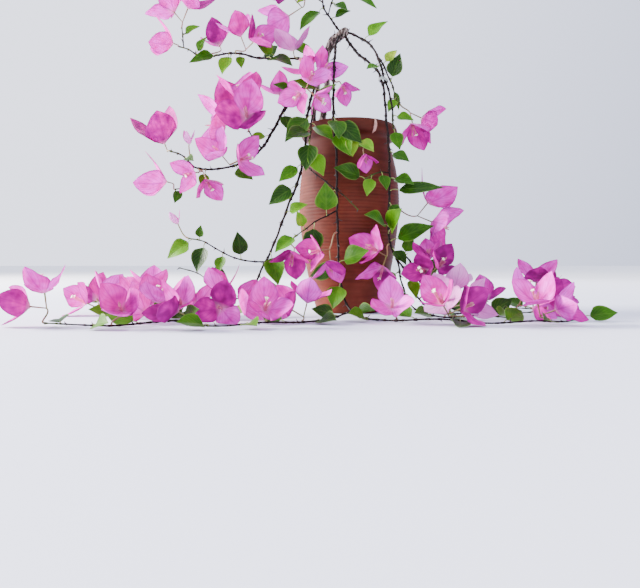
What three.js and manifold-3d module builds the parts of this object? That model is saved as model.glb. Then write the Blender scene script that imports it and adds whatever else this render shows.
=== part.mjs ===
// Bougainvillea bonsai in a round-bellied stoneware pot. Millimetres, +Z up, the front faces -Y.
// The origin is the middle of the pot's foot. Whips longer than the pot is tall lie along the surface.
import * as THREE from 'three';
import { mergeVertices } from 'three/addons/utils/BufferGeometryUtils.js';
import Module from 'manifold-3d';

const wasm = await Module();
wasm.setup();

// ---------------------------------------------------------------- driving dimensions
const GAP = 0.3; // between pieces that touch
const POT_SIDES = 24;
const POT_FLOOR = 8; // thickness of the pot's floor
const POT_LIP = 226; // height of the lip
const SOIL_TOP = 213;
const SOIL_MOUND = 3; // how much higher the soil is in the middle
const DRAIN = { radius: 4.5, ring: 21, count: 3 };
const TRUNK_FOOT = { x: -34, y: 6, low: 153, radius: 5.2 }; // the straight part in the soil

// [radius, height] up the outside of the pot, over the rolled lip and down the inside.
const POT_OUTSIDE = [
  [38.5, 0], [40.5, 2.5], [46, 25], [51.5, 48], [57, 80], [60.5, 108], [61.8, 130], [61, 150],
  [58.5, 170], [54, 190], [50.5, 202], [50.8, 208.5], [57.2, 212.5], [59.2, 219], [56.8, POT_LIP],
];
const POT_INSIDE = [
  [51.5, POT_LIP - 0.5], [45.6, 218], [44.4, 210], [49, 189], [55.2, 160], [56.7, 128], [52, 80],
  [46.4, 48], [40, 22], [35, POT_FLOOR],
];

const RING_MERGE = 0.22; // a route point this near to a root shares its ring
const STALK_RADIUS = 0.85; // petioles, peduncles and pedicels
const FOOT_RADIUS = 0.45; // where a petiole or pedicel is sunk in what carries it
const BLADE_THICK = 1.2; // at the midrib, thinning to the edge
const LEAF = { wide: 0.72, near: 0.6, far: 1.15, rings: [0.03, 0.24, 0.62], petiole: 0.2 };
// A bract leaves the flower's axis at the opening, in degrees, and bends back in towards it.
const BRACT = { wide: 0.84, near: 0.62, far: 0.85, rings: [0.36, 0.72], opening: 60, bend: -0.3 };
const BUD = { longest: 20, wide: 0.56, opening: 44 }; // shorter bracts are still narrow and nearly closed
const SURFACE = { under: 0.4, edge: 0.9, upper: 1.5 }; // lowest heights of a blade that lies flat
const CLEAR = 0.4; // kept between blades that pass each other

// ---------------------------------------------------------------- the stems, leaves and heads
// A run is one stem: its radius from root to tip and its route, which begins at a place on the stem
// that it grows from. Places are counted in route points. A leaf is [place, angle, depth, length,
// roll, width share]. The angle is seen from the front, 0 to the right and 90 up, and depth leans it
// towards the front. A head of flowers is [place, middle x, y, z, angle, depth, blooms, bract
// length, 1 if pale].
const TRUNK = [
  {
    radii: [TRUNK_FOOT.radius, TRUNK_FOOT.radius, 5.8, 4.2, 3.5, 3.5, 4.1, 5.6, 3.2],
    route: [
      [TRUNK_FOOT.x, TRUNK_FOOT.y, TRUNK_FOOT.low], [TRUNK_FOOT.x, TRUNK_FOOT.y, 212],
      [-34, 6, 220], [-33, 4, 240], [-27, 2, 274], [-28, -2, 308], [-22, -4, 326], [-10, -6, 338],
      [-2, -5, 342],
    ],
  },
  {
    from: ['trunk', 0, 2.1],
    radii: [2.6, 3.2, 2.8, 2.7, 3.1, 2.9, 2.6, 2.2],
    route: [
      [-43, 8, 235], [-43, 8, 254], [-40, 8, 272], [-37, 8, 291], [-29, 5, 313], [-25, 3, 330],
      [-17, -1, 339],
    ],
  },
];

const STEMS = {
  shoot_top: [
    {
      from: ['trunk', 0, 7],
      radii: [1.8, 0.9],
      route: [[-20, 3, 356], [-31, 4, 373], [-34, 6, 391], [-40, 4, 412], [-44, 2, 428]],
      leaves: [
        [2.0, 221, 15, 34], [3.3, 150, 20, 26], [4.2, 60, 10, 24], [5.0, 104, 20, 24],
        [1.2, 20, 20, 20],
      ],
    },
    {
      from: ['shoot_top', 0, 2.4],
      radii: [1.1, 0.9],
      route: [[-42, 8, 388], [-51, 11, 391]],
      leaves: [[1.1, 205, 30, 22]],
      heads: [[2, -87, 15, 383, 178, 15, 2, 41]],
    },
    {
      from: ['shoot_top', 0, 1.5],
      radii: [1.1, 0.9],
      route: [[-20, -2, 382], [-13, -6, 389], [-4, -8, 391]],
      leaves: [[3.0, -37, 20, 39, 0, 0.42], [0.7, -35, 30, 22]],
    },
  ],
  branch_upper_left: [
    {
      from: ['trunk', 1, 5],
      radii: [2.0, 1.0],
      route: [
        [-61, 3, 312], [-93, 4, 313], [-114, 6, 314], [-131, 8, 319], [-148, 10, 321],
        [-170, 12, 318], [-186, 12, 318], [-199, 12, 326], [-211, 10, 329],
      ],
      leaves: [
        [0.5, 138, 25, 30], [2.4, -20, 35, 34], [1.9, 140, 20, 27], [2.8, 40, 10, 26, 80],
        [4.3, -80, 20, 16], [5.0, -107, 25, 26], [5.6, 194, 15, 31], [7.3, 55, 10, 20],
      ],
      heads: [
        [9, -233, 8, 338, 165, 20, 1, 35], [6.2, -167, 22, 347, 110, -10, 1, 32],
        [4.6, -122, -12, 341, 75, 35, 2, 33], [1.1, -71, -10, 332, 100, 10, 1, 34, 1],
      ],
    },
    {
      from: ['branch_upper_left', 0, 8.5],
      radii: [1.1, 0.9],
      route: [[-207, 13, 340], [-208, 13, 353]],
      leaves: [[1.2, 30, 15, 20]],
      heads: [[2, -210, 10, 387, 95, 10, 2, 38]],
    },
  ],
  branch_left: [
    {
      from: ['trunk', 1, 4],
      radii: [2.6, 1.2],
      route: [
        [-57, -12, 271], [-75, -22, 249], [-91, -30, 218], [-105, -34, 195], [-125, -36, 179],
        [-156, -36, 171], [-183, -34, 173], [-198, -32, 187], [-214, -30, 193],
      ],
      leaves: [
        [2.3, -70, 25, 22], [5.4, -37, 30, 26], [6.5, -100, 20, 18], [1.5, 160, 10, 26],
        [3.3, 190, 20, 20], [7.8, -20, 20, 18],
      ],
      heads: [
        [9, -229, -25, 222, 108, 20, 1, 46], [7.6, -189, -40, 206, 85, 20, 1, 17, 1],
        [5.2, -136, -60, 186, 60, 60, 2, 34], [6.8, -176, -52, 154, -100, 45, 2, 28],
        [2.1, -90, -14, 275, 112, 0, 1, 29],
      ],
    },
    {
      from: ['branch_left', 0, 7.1],
      radii: [1.2, 0.9],
      route: [[-191, -34, 160], [-199, -32, 150], [-208, -30, 148]],
      leaves: [[2.2, 250, 20, 16]],
      heads: [[3, -236, -30, 162, 165, 15, 1, 41]],
    },
    {
      from: ['branch_left', 0, 4],
      radii: [1.6, 1.2],
      route: [[-114, -32, 207], [-120, -31, 216]],
      heads: [[2, -133, -32, 244, 118, 25, 4, 44]],
    },
  ],
  shoot_rim: [
    {
      from: ['trunk', 0, 4.1],
      radii: [1.4, 0.9],
      route: [[-31, -22, 268], [-39, -43, 254], [-44, -60, 230], [-47, -68, 204], [-48, -71, 186]],
      leaves: [
        [3.1, 222, 15, 36], [3.8, 205, 30, 32], [4.3, -97, 25, 32], [1.6, 155, 10, 28],
        [5.0, -60, 20, 28], [2.5, 20, 25, 26], [3.5, -40, 30, 30],
      ],
      heads: [[2.3, -47, -87, 246, -60, 60, 3, 26]],
    },
  ],
  arch_right: [
    {
      from: ['trunk', 0, 7.2],
      radii: [2.2, 1.0],
      route: [
        [7, -20, 312], [27, -38, 288], [34, -48, 272], [37, -56, 252], [39, -60, 222],
        [42, -61, 190], [43, -62, 150], [42, -62, 110], [44, -62, 82], [52, -65, 62],
        [57, -74, 34], [68, -88, 10], [98, -104, 2], [135, -114, 5], [166, -114, 2],
      ],
      leaves: [
        [6.1, -30, 30, 22], [7.2, 2, 10, 50, 0, 0.34], [7.5, -60, 30, 18], [8.3, 150, 35, 30, 0, 0.85],
        [8.55, 75, 30, 32, 0, 0.9], [8.9, 22, 15, 42, 0, 0.55], [9.2, -50, 30, 22], [10.4, 215, 35, 20],
        [11.1, -100, 35, 20], [12.6, 160, 50, 26], [13.5, 20, 60, 28], [14.5, 10, -30, 26],
        [6.85, -15, 30, 24, 0, 0.9],
      ],
      heads: [
        [7.6, 103, -56, 122, 15, 20, 2, 40], [9.0, 23, -85, 62, 200, 45, 2, 34],
        [13.0, 110, -116, 30, 75, 35, 3, 32, 1], [15, 188, -128, 25, 30, 30, 2, 29],
      ],
    },
    {
      from: ['arch_right', 0, 6.7],
      radii: [1.1, 0.9],
      route: [[30, -68, 162], [14, -71, 154]],
      leaves: [[2, 158, 15, 30, 0, 0.8], [1.5, -105, 20, 20], [0.8, -75, 25, 19]],
    },
  ],
  arch_right_inner: [
    {
      from: ['trunk', 0, 7.6],
      radii: [2.0, 1.3],
      route: [
        [9, -7, 335], [25, -18, 320], [33, -32, 298], [38.5, -44, 272], [44, -48, 254],
        [47, -50, 235], [48, -52, 214],
      ],
      leaves: [[1.5, 41, 15, 27], [6.3, -15, 25, 20], [7.0, -75, 25, 22], [3.3, 200, 20, 18]],
    },
    {
      from: ['arch_right_inner', 0, 2.5],
      radii: [1.5, 0.9],
      route: [[39, -20, 297], [49, -18, 277], [54, -17, 263], [60, -16, 252]],
      leaves: [
        [2.0, 74, 15, 27], [2.4, -68, -20, 22, 0, 0.4], [3.3, -120, 20, 17], [1.0, 45, 10, 18],
      ],
      heads: [[4, 84, -16, 223, -62, 15, 2, 33]],
    },
  ],
  whip_right_middle: [
    {
      from: ['arch_right', 0, 9.9],
      radii: [1.5, 0.9],
      route: [
        [62, -66, 50], [74, -70, 22], [98, -70, 4], [136, -64, 3], [174, -60, 2], [206, -62, 4],
      ],
      leaves: [
        [1.2, -70, 30, 22], [2.4, 10, 40, 24], [3.5, 150, 50, 24], [4.5, 30, -20, 28],
        [5.3, 170, 40, 24],
      ],
      heads: [[2.1, 87, -92, 62, 90, 45, 3, 28], [6, 226, -70, 28, 35, 25, 4, 34]],
    },
  ],
  whip_right_outer: [
    {
      from: ['arch_right', 0, 9.6],
      radii: [1.5, 0.9],
      route: [
        [63, -59, 67], [80, -53, 46], [100, -46, 21], [127, -34, 5], [166, -20, 2],
        [206, -12, 5], [236, -14, 3],
      ],
      leaves: [
        [0.8, 70, 20, 20], [2.2, 60, 10, 24], [3.2, 10, 30, 26], [4.5, 160, -30, 26],
        [6.4, 150, -40, 26],
      ],
      heads: [
        [1.5, 100, -50, 80, 40, 20, 1, 31], [7, 256, -16, 23, 30, 10, 1, 31],
        [5.0, 172, 2, 26, 80, -40, 1, 31],
      ],
    },
  ],
  whip_front: [
    {
      from: ['trunk', 0, 6.9],
      radii: [2.1, 1.0],
      route: [
        [-17, -26, 319], [-20, -50, 278], [-21, -69, 222], [-18, -73, 187], [-17, -74, 131],
        [-16, -75, 86], [-14, -78, 50], [-8, -91, 18], [6, -113, 3], [38, -140, 2],
        [82, -158, 5], [127, -168, 2], [170, -166, 4], [208, -150, 2], [236, -128, 5],
      ],
      leaves: [
        [3.0, -75, 30, 30], [3.35, -60, 25, 31], [3.05, -40, 25, 35], [3.6, -20, 20, 25],
        [6.9, 190, 25, 28, 0, 0.85], [7.3, -110, 30, 26, 0, 0.85], [6.7, 8, 25, 30, 0, 0.85],
        [4.8, 205, 30, 18],
        [8.6, 20, 50, 26], [9.3, 155, 50, 28], [10.5, 150, -40, 26],
        [11.4, 20, 50, 28], [12.3, 25, -35, 28], [13.5, 160, 40, 26], [15.0, 10, 20, 26],
      ],
      heads: [
        [2.2, -7, -50, 256, -65, 20, 1, 24], [5.8, -35, -100, 62, -125, 35, 2, 28],
        [10.1, 34, -158, 24, 100, 50, 1, 31], [11.7, 92, -176, 26, 80, 45, 2, 32],
        [13.5, 186, -172, 26, 70, 35, 2, 32],
      ],
    },
    {
      from: ['whip_front', 0, 5.25],
      radii: [1.2, 0.9],
      route: [[-30, -77, 112], [-44, -79, 104], [-69, -81, 85]],
      leaves: [[1.9, -95, 20, 32], [2.7, 215, 15, 28], [2.4, 110, 25, 18], [0.9, 75, 25, 30, 0, 0.85]],
      heads: [[3, -60, -90, 60, -75, 25, 1, 31]],
    },
    {
      from: ['whip_front', 0, 3.3],
      radii: [1.1, 0.9],
      route: [[-8, -75, 205], [3, -76, 199], [11, -75, 193]],
      leaves: [[1.5, -85, 20, 21], [2.3, -60, 30, 21]],
      heads: [[3, 15, -79, 172, -75, 20, 1, 21]],
    },
  ],
  whip_front_left: [
    {
      from: ['whip_front', 0, 8.5],
      radii: [1.5, 0.9],
      route: [[-24, -128, 3], [-55, -158, 2], [-90, -180, 4], [-125, -194, 2], [-155, -204, 4]],
      leaves: [
        [0.7, 160, 20, 24], [1.5, 20, 60, 28], [2.4, 160, -30, 26], [3.4, 20, 50, 26],
        [4.4, 160, 30, 28],
      ],
      heads: [
        [1.9, -60, -144, 26, 110, 10, 2, 31], [2.9, -84, -196, 24, 70, 50, 1, 32],
        [5, -174, -210, 22, 150, 25, 1, 31],
      ],
    },
  ],
  whip_left: [
    {
      from: ['trunk', 0, 4.9],
      radii: [2.3, 1.0],
      route: [
        [-41, -25, 273], [-50, -50, 232], [-53, -62, 190], [-60, -65, 155], [-70, -66, 130],
        [-89, -66, 80], [-103, -66, 52], [-114, -68, 28], [-132, -76, 6], [-165, -88, 2],
        [-205, -92, 5], [-245, -84, 2], [-280, -62, 4], [-304, -30, 2], [-314, 5, 5],
      ],
      leaves: [
        [3.5, 215, 15, 26], [4.3, 213, 15, 30], [6.2, -75, 25, 32], [8.0, 8, 25, 30],
        [8.5, -5, 40, 36], [5.3, 25, 25, 22], [9.4, 20, 40, 28], [10.4, 160, 45, 28],
        [11.5, 30, -20, 28], [12.5, 160, 40, 26], [13.4, 30, 20, 28], [15.0, 110, 10, 26],
      ],
      heads: [
        [0.9, -42, -48, 288, 90, 45, 2, 30], [9.9, -180, -62, 24, 110, -30, 1, 31],
        [10.6, -188, -108, 24, 100, 50, 1, 32], [11.7, -232, -84, 30, 110, -5, 3, 34],
        [13.8, -302, -46, 27, 110, 5, 3, 33],
      ],
    },
    {
      from: ['whip_left', 0, 3.45],
      radii: [1.1, 0.8],
      route: [[-38, -74, 157], [-20, -82, 142], [-6, -82, 131], [6, -80, 119]],
    },
    {
      from: ['whip_left', 0, 6.6],
      radii: [1.3, 0.9],
      route: [[-112, -63, 62], [-130, -60, 65], [-149, -57, 73], [-170, -53, 85], [-188, -50, 89]],
      leaves: [
        [3.9, -105, 20, 30], [1.8, 95, 15, 26], [4.7, 215, 15, 30], [4.3, 80, 20, 14],
        [2.9, -100, 30, 20],
      ],
      heads: [[5, -203, -52, 112, 110, 20, 1, 17, 1]],
    },
    {
      from: ['whip_left', 0, 8.2],
      radii: [1.1, 0.8],
      route: [[-134, -62, 20], [-152, -58, 30], [-177, -53, 48], [-200, -52, 55]],
      leaves: [[1.9, 95, 10, 26], [1.5, 200, 30, 18]],
    },
  ],
  whip_left_lower: [
    {
      from: ['whip_left', 0, 9],
      radii: [1.7, 0.9],
      route: [
        [-138, -104, 4], [-158, -138, 2], [-188, -168, 4], [-225, -190, 2], [-260, -200, 4],
        [-288, -196, 5],
      ],
      leaves: [
        [0.9, 20, 50, 26], [1.6, 170, 20, 28], [2.5, 20, 30, 28], [3.5, 165, 10, 28],
        [4.5, 20, 50, 26], [5.4, 160, -40, 26],
      ],
      heads: [
        [1.7, -126, -140, 27, 60, 35, 3, 33], [3.1, -206, -156, 26, 120, -10, 2, 34],
        [4.1, -216, -206, 24, 80, 55, 1, 32], [6, -308, -184, 33, 135, 5, 2, 31],
      ],
    },
  ],
};

// ---------------------------------------------------------------- materials
const paint = (color, roughness) => new THREE.MeshStandardMaterial({ color, roughness, metalness: 0 });
const PAINT = {
  clay: () => paint('#8f4a3c', 0.8),
  soil: () => paint('#3b2a20', 1),
  bark: () => paint('#5b463a', 0.9),
  leafy: () => paint('#4c8a1e', 0.55),
  bract: () => paint('#dd55c6', 0.6),
  pale: () => paint('#eaa6dc', 0.6),
  tie: () => paint('#c9cbcb', 0.5),
};

// ---------------------------------------------------------------- small tools
const vec = (x, y, z) => new THREE.Vector3(x, y, z);
const along = (from, dir, distance) => from.clone().addScaledVector(dir, distance);
const radians = THREE.MathUtils.degToRad;

/** A direction from its angle seen from the front and its lean towards the front. */
function aim(angle, depth) {
  const [a, d] = [radians(angle), radians(depth)];
  return vec(Math.cos(a) * Math.cos(d), -Math.sin(d), Math.sin(a) * Math.cos(d));
}

/** A unit vector square to dir, as near as it can be to the wanted one. */
function squareTo(dir, wanted) {
  const side = along(wanted, dir, -wanted.dot(dir));
  return side.lengthSq() > 1e-4 ? side.normalize() : squareTo(dir, vec(wanted.z, wanted.x, wanted.y));
}

/** A point kept above the surface that the pot stands on. */
function lie(point, lowest) {
  point.z = Math.max(point.z, lowest);
  return point;
}

let seed = 2024;
/** The next seeded number from -1 to 1. */
function draw() {
  seed = (Math.imul(seed, 1664525) + 1013904223) >>> 0;
  return seed / 2 ** 31 - 1;
}

// ---------------------------------------------------------------- closed skins
/** Points and faces with their bounding box. */
function skinOf(points, faces) {
  return { points, faces, box: new THREE.Box3().setFromPoints(points) };
}

/** Adds the faces between two rings of point numbers, alike on both sides of a blade. */
function joinRings(faces, ring, next) {
  ring.forEach((p, j) => {
    const q = ring[(j + 1) % ring.length];
    const [a, b] = [next[j], next[(j + 1) % ring.length]];
    if (next.length === 1) faces.push([p, q, next[0]]);
    else if (j % 2 === 0) faces.push([p, q, b], [p, b, a]);
    else faces.push([p, q, a], [q, b, a]);
  });
}

/** A closed skin over rings of equally many points. The last ring may be a single point. */
function loft(rings) {
  const points = [];
  const numbered = rings.map((ring) => ring.map((p) => points.push(p) - 1));
  const faces = [];
  const [first, last] = [numbered[0], numbered.at(-1)];
  for (let j = 1; j < first.length - 1; j++) faces.push([first[0], first[j + 1], first[j]]);
  for (let r = 0; r + 1 < numbered.length; r++) joinRings(faces, numbered[r], numbered[r + 1]);
  for (let j = 1; j < last.length - 1; j++) faces.push([last[0], last[j], last[j + 1]]);
  return skinOf(points, faces);
}

/** A manifold solid from a skin. */
function solidOf({ points, faces }) {
  const vertProperties = Float32Array.from(points.flatMap((p) => [p.x, p.y, p.z]));
  const triVerts = Uint32Array.from(faces.flat());
  return new wasm.Manifold(new wasm.Mesh({ numProp: 3, vertProperties, triVerts }));
}

/** A manifold solid from a closed three.js geometry, its pole slivers dropped. */
function solidOfGeometry(geometry) {
  geometry.deleteAttribute('normal');
  geometry.deleteAttribute('uv');
  const merged = mergeVertices(geometry, 1e-3);
  const place = merged.attributes.position;
  const points = Array.from({ length: place.count }, (_, i) => vec().fromBufferAttribute(place, i));
  const faces = [];
  for (let i = 0; i < merged.index.count; i += 3) {
    const face = [0, 1, 2].map((j) => merged.index.getX(i + j));
    if (new Set(face).size === 3) faces.push(face);
  }
  return solidOf({ points, faces });
}

const union = (solids) => solids.reduce((all, one) => all.add(one));

/** A named mesh from a manifold solid. */
function meshOf(name, solid, material) {
  const mesh = solid.getMesh();
  const geometry = new THREE.BufferGeometry();
  geometry.setAttribute('position', new THREE.BufferAttribute(mesh.vertProperties, 3));
  geometry.setIndex(new THREE.BufferAttribute(mesh.triVerts, 1));
  geometry.computeVertexNormals();
  const made = new THREE.Mesh(geometry, material);
  made.name = name;
  return made;
}

// ---------------------------------------------------------------- stems
/** Gives a run its curve, its tangent and its radius at a place counted in route points. */
function openRun(row, stems) {
  const points = row.route.map((p) => vec(...p));
  if (row.from) {
    const [stem, run, place] = row.from;
    stems[stem][run].forks.push([place]);
    points.unshift(stems[stem][run].at(place));
  }
  const last = points.length - 1;
  const curve = new THREE.CatmullRomCurve3(points, false, 'catmullrom', 0.5);
  const radius = (s) => {
    const t = (s / last) * (row.radii.length - 1);
    const i = Math.min(Math.floor(t), row.radii.length - 2);
    return row.radii[i] + (row.radii[i + 1] - row.radii[i]) * (t - i);
  };
  const at = (s) => lie(curve.getPoint(s / last), radius(s) + SURFACE.under);
  return { ...row, forks: [], last, radius, at, towards: (s) => curve.getTangent(s / last) };
}

/** Points round a centre, right-handed about the tangent. */
function circle(centre, tangent, side, radius, sides) {
  const up = tangent.clone().cross(side);
  return Array.from({ length: sides }, (_, j) => {
    const a = (2 * Math.PI * j) / sides;
    return along(along(centre, side, radius * Math.cos(a)), up, radius * Math.sin(a));
  });
}

/** A round skin along centres, each with its tangent and radius, carried along without twist. */
function roundSkin(places, sides) {
  let side = vec(0, 1, 0);
  return loft(places.map(({ centre, tangent, radius }) => {
    side = squareTo(tangent, side);
    return circle(centre, tangent, side, radius, sides);
  }));
}

/** The skin of a run, with a ring at every route point and wherever something grows out of it. */
function stemSkin(run, sides, grown = 0) {
  const rooted = [...(run.leaves ?? []), ...(run.heads ?? []), ...run.forks].map(([s]) => s);
  const routed = Array.from({ length: run.last + 1 }, (_, i) => i)
    .filter((i) => i % run.last === 0 || !rooted.some((s) => Math.abs(s - i) < RING_MERGE));
  const places = [...new Set([...routed, ...rooted])].sort((a, b) => a - b);
  const ring = (s) => ({ centre: run.at(s), tangent: run.towards(s), radius: run.radius(s) + grown });
  return roundSkin(places.map(ring), sides);
}

// ---------------------------------------------------------------- blades
/** Share of the full half width at s along a blade, which is 1 where the blade is widest. */
function outline(form, s) {
  const widest = form.near / (form.near + form.far);
  return (s / widest) ** form.near * ((1 - s) / (1 - widest)) ** form.far;
}

/**
 * The rings of a blade and its tip. Each ring is the left edge, the upper midrib, the right edge and
 * the under midrib. The midrib bends away from the face by bend x length x s squared, and the edges
 * rise by the fold and sway by the wave.
 */
function bladeRings(form, b, grown) {
  const left = b.face.clone().cross(b.dir);
  const half = (b.length * (b.wide ?? form.wide)) / 2;
  const thick = (BLADE_THICK + grown) / 2;
  const midrib = (s) => along(along(b.start, b.dir, b.length * s), b.face, -b.bend * b.length * s * s);
  const rings = form.rings.map((s, i) => {
    const width = half * outline(form, s) + grown;
    const sway = s < 0.1 ? 0 : b.wave * half * (i % 2 === 0 ? 1 : -1);
    return bladeRing(midrib(s), left, b.face, width, thick, width * b.fold, sway);
  });
  return [...rings, [lie(along(midrib(1), b.dir, grown), SURFACE.edge)]];
}

function bladeRing(centre, left, face, width, thick, rise, sway) {
  return [
    lie(along(along(centre, left, width), face, rise + sway), SURFACE.edge),
    lie(along(centre, face, thick), SURFACE.upper),
    lie(along(along(centre, left, -width), face, rise - sway), SURFACE.edge),
    lie(along(centre, face, -thick), SURFACE.under),
  ];
}

// ---------------------------------------------------------------- what passes what
/** Whether the segment from p to q goes through the triangle a, b, c. */
function pierces(p, q, a, b, c) {
  const dir = q.clone().sub(p);
  const e1 = b.clone().sub(a);
  const e2 = c.clone().sub(a);
  const h = dir.clone().cross(e2);
  const det = e1.dot(h);
  if (Math.abs(det) < 1e-12) return false;
  const s = p.clone().sub(a);
  const u = s.dot(h) / det;
  if (u < 0 || u > 1) return false;
  const k = s.cross(e1);
  const v = dir.dot(k) / det;
  const t = e2.dot(k) / det;
  return v >= 0 && u + v <= 1 && t >= 0 && t <= 1;
}

/** Whether an edge of one skin goes through a face of the other. */
function edgesPierce(one, other) {
  const corners = (f) => f.map((i) => other.points[i]);
  const near = other.faces.map(corners)
    .filter((abc) => one.box.intersectsBox(new THREE.Box3().setFromPoints(abc)));
  return one.faces.some((f) => f.some((i, j) => {
    const next = f[(j + 1) % 3];
    return i < next && near.some((abc) => pierces(one.points[i], one.points[next], ...abc));
  }));
}

const crosses = (one, other) =>
  one.box.intersectsBox(other.box) && (edgesPierce(one, other) || edgesPierce(other, one));

/** The pot's outer radius at a height, or 0 above and below it. */
function potRadius(z) {
  const i = POT_OUTSIDE.findIndex(([, height]) => height > z);
  if (i < 1) return 0;
  const [[r0, z0], [r1, z1]] = [POT_OUTSIDE[i - 1], POT_OUTSIDE[i]];
  return r0 + ((r1 - r0) * (z - z0)) / (z1 - z0);
}

const inPot = ({ points }) => points.some((p) => Math.hypot(p.x, p.y) < potRadius(p.z) + 2);

/** Every skin in place, each with the node that it belongs to. */
const placed = [];

/** Puts a skin in place in the first of the ways that passes clear of every other node and blade. */
function placeFirstClear(node, ways, build) {
  const blades = (skin) => ({ ...skin, faces: skin.faces.slice(skin.bare) });
  const blocks = (fat) => (p) => {
    return p.node === node ? crosses(blades(fat), blades(p.skin)) : crosses(fat, p.skin);
  };
  const clear = ways.find((way) => {
    const fat = build(way, CLEAR);
    return !inPot(fat) && !placed.some(blocks(fat));
  });
  const skin = build(clear ?? ways[0], 0);
  placed.push({ node, skin });
  return skin;
}

// ---------------------------------------------------------------- leaves
const FACE = vec(0, -0.8, 0.6); // leaves turn their faces to the front and the light
const LEAF_TURNS = [
  [0, 0], [0, 18], [0, -18], [18, 0], [-18, 0], [0, 36], [0, -36], [18, 18], [-18, -18], [18, -18],
  [-18, 18], [36, 0], [-36, 0], [0, 54], [0, -54], [40, 40], [-40, -40], [60, 0], [-60, 0],
  [90, 0], [-90, 0], [120, 20], [-120, 20],
];

/** A ring with only the edges and the under midrib, for a blade with a flat face. */
const withoutMidrib = (ring) => ring.filter((_, i) => i !== 1);
const PETIOLE_FACES = 7;

/** A leaf on a run, its petiole rooted in the middle of the stem. */
function addLeaf(node, run, [s, angle, depth, length, roll = 0, wide = LEAF.wide]) {
  const [bend, fold, wave, twist] = [draw(), draw(), draw(), draw()];
  const root = run.at(s);
  const bare = LEAF.petiole * length + run.radius(s);
  const build = ([turn, lean], grown) => {
    const dir = aim(angle + turn, depth + lean);
    const face = squareTo(dir, FACE).applyAxisAngle(dir, radians(roll + 14 * twist));
    const form = {
      start: along(root, dir, bare), dir, face, length, wide,
      bend: 0.12 + 0.06 * bend, fold: 0.08 + 0.04 * fold, wave: 0.03 * wave,
    };
    const foot = bladeRing(root, face.clone().cross(dir), face, FOOT_RADIUS, FOOT_RADIUS, 0, 0);
    const flat = [foot, ...bladeRings(LEAF, form, grown)].map(withoutMidrib);
    return { ...loft(flat), bare: PETIOLE_FACES };
  };
  return placeFirstClear(node, LEAF_TURNS, build);
}

// ---------------------------------------------------------------- heads of flowers
const SPREAD = [0, 0, 38, 46, 54]; // degrees that each bloom leans out, by the blooms in the head
const PEDICEL = [0, 0.15, 0.45, 0.52, 0.62]; // pedicel as a share of the bract, by the blooms
const BLOOM_TILTS = [
  [0, 0], [20, 0], [-20, 0], [0, 20], [0, -20], [35, 0], [-35, 0], [0, 35], [0, -35], [50, 30],
];
const BLOOM_TURNS = [1, 0.85, 0.7].flatMap((size) =>
  BLOOM_TILTS.flatMap(([lean, swing]) => [0, 40, 80].map((turn) => ({ size, lean, swing, turn }))));

/** The skins of a head: the first bloom with the peduncle, then the others, even round the look. */
function addHead(node, run, [s, x, y, z, angle, depth, blooms, length]) {
  const look = aim(angle, depth);
  const spread = radians(SPREAD[blooms]);
  const pedicel = PEDICEL[blooms] * length;
  const hub = along(vec(x, y, z), look, -(pedicel + 0.45 * length) * Math.cos(spread));
  const across = squareTo(look, vec(Math.sin(radians(angle)), 0, -Math.cos(radians(angle))));
  const phase = 0.5 * draw();
  return Array.from({ length: blooms }, (_, i) => {
    const out = across.clone().applyAxisAngle(look, phase + (2 * Math.PI * i) / blooms);
    const dir = along(look.clone().multiplyScalar(Math.cos(spread)), out, Math.sin(spread));
    const path = i === 0 ? peduncle(run, s, hub, look) : [];
    return addBloom(node, path, hub, dir, out, pedicel, length);
  });
}

/** Places of the stalk that leaves a run square to it, or from its tip, and comes in along the look. */
function peduncle(run, s, hub, look) {
  const base = run.at(s);
  const tangent = run.towards(s);
  const atTip = s === run.last;
  const away = atTip ? tangent : squareTo(tangent, hub.clone().sub(base).normalize());
  const start = along(base, away, (atTip ? 0 : run.radius(s)) + GAP + 0.1);
  const bow = 0.35 * start.distanceTo(hub);
  const curve = new THREE.CubicBezierCurve3(start, along(start, away, bow), along(hub, look, -bow), hub);
  return [0, 0.33, 0.67, 1].map((t) => ({
    centre: lie(curve.getPoint(t), STALK_RADIUS + SURFACE.under), tangent: curve.getTangent(t),
  }));
}

/** A bloom at the end of its pedicel, in the first setting that passes clear. */
function addBloom(node, path, hub, dir, out, pedicel, length) {
  const closed = length < BUD.longest;
  const opening = radians(closed ? BUD.opening : BRACT.opening + 8 * draw());
  const wide = closed ? BUD.wide : BRACT.wide;
  const spin = 60 * draw();
  const shapes = [0, 1, 2].map(() => ({ bend: draw(), fold: draw(), wave: draw() }));
  const lever = out.clone().cross(dir).normalize();
  const build = ({ size, lean, swing, turn }, grown) => {
    const axis = dir.clone().applyAxisAngle(lever, radians(lean)).applyAxisAngle(out, radians(swing));
    const base = along(hub, axis, pedicel);
    const side = squareTo(axis, out).applyAxisAngle(axis, radians(spin + turn));
    const stalk = path.length > 0 ? path : [{ centre: hub, tangent: axis, radius: FOOT_RADIUS }];
    return bloomSkin({ stalk, base, axis, side, opening, shapes, wide, length: length * size }, grown);
  };
  return placeFirstClear(node, BLOOM_TURNS, build);
}

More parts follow.
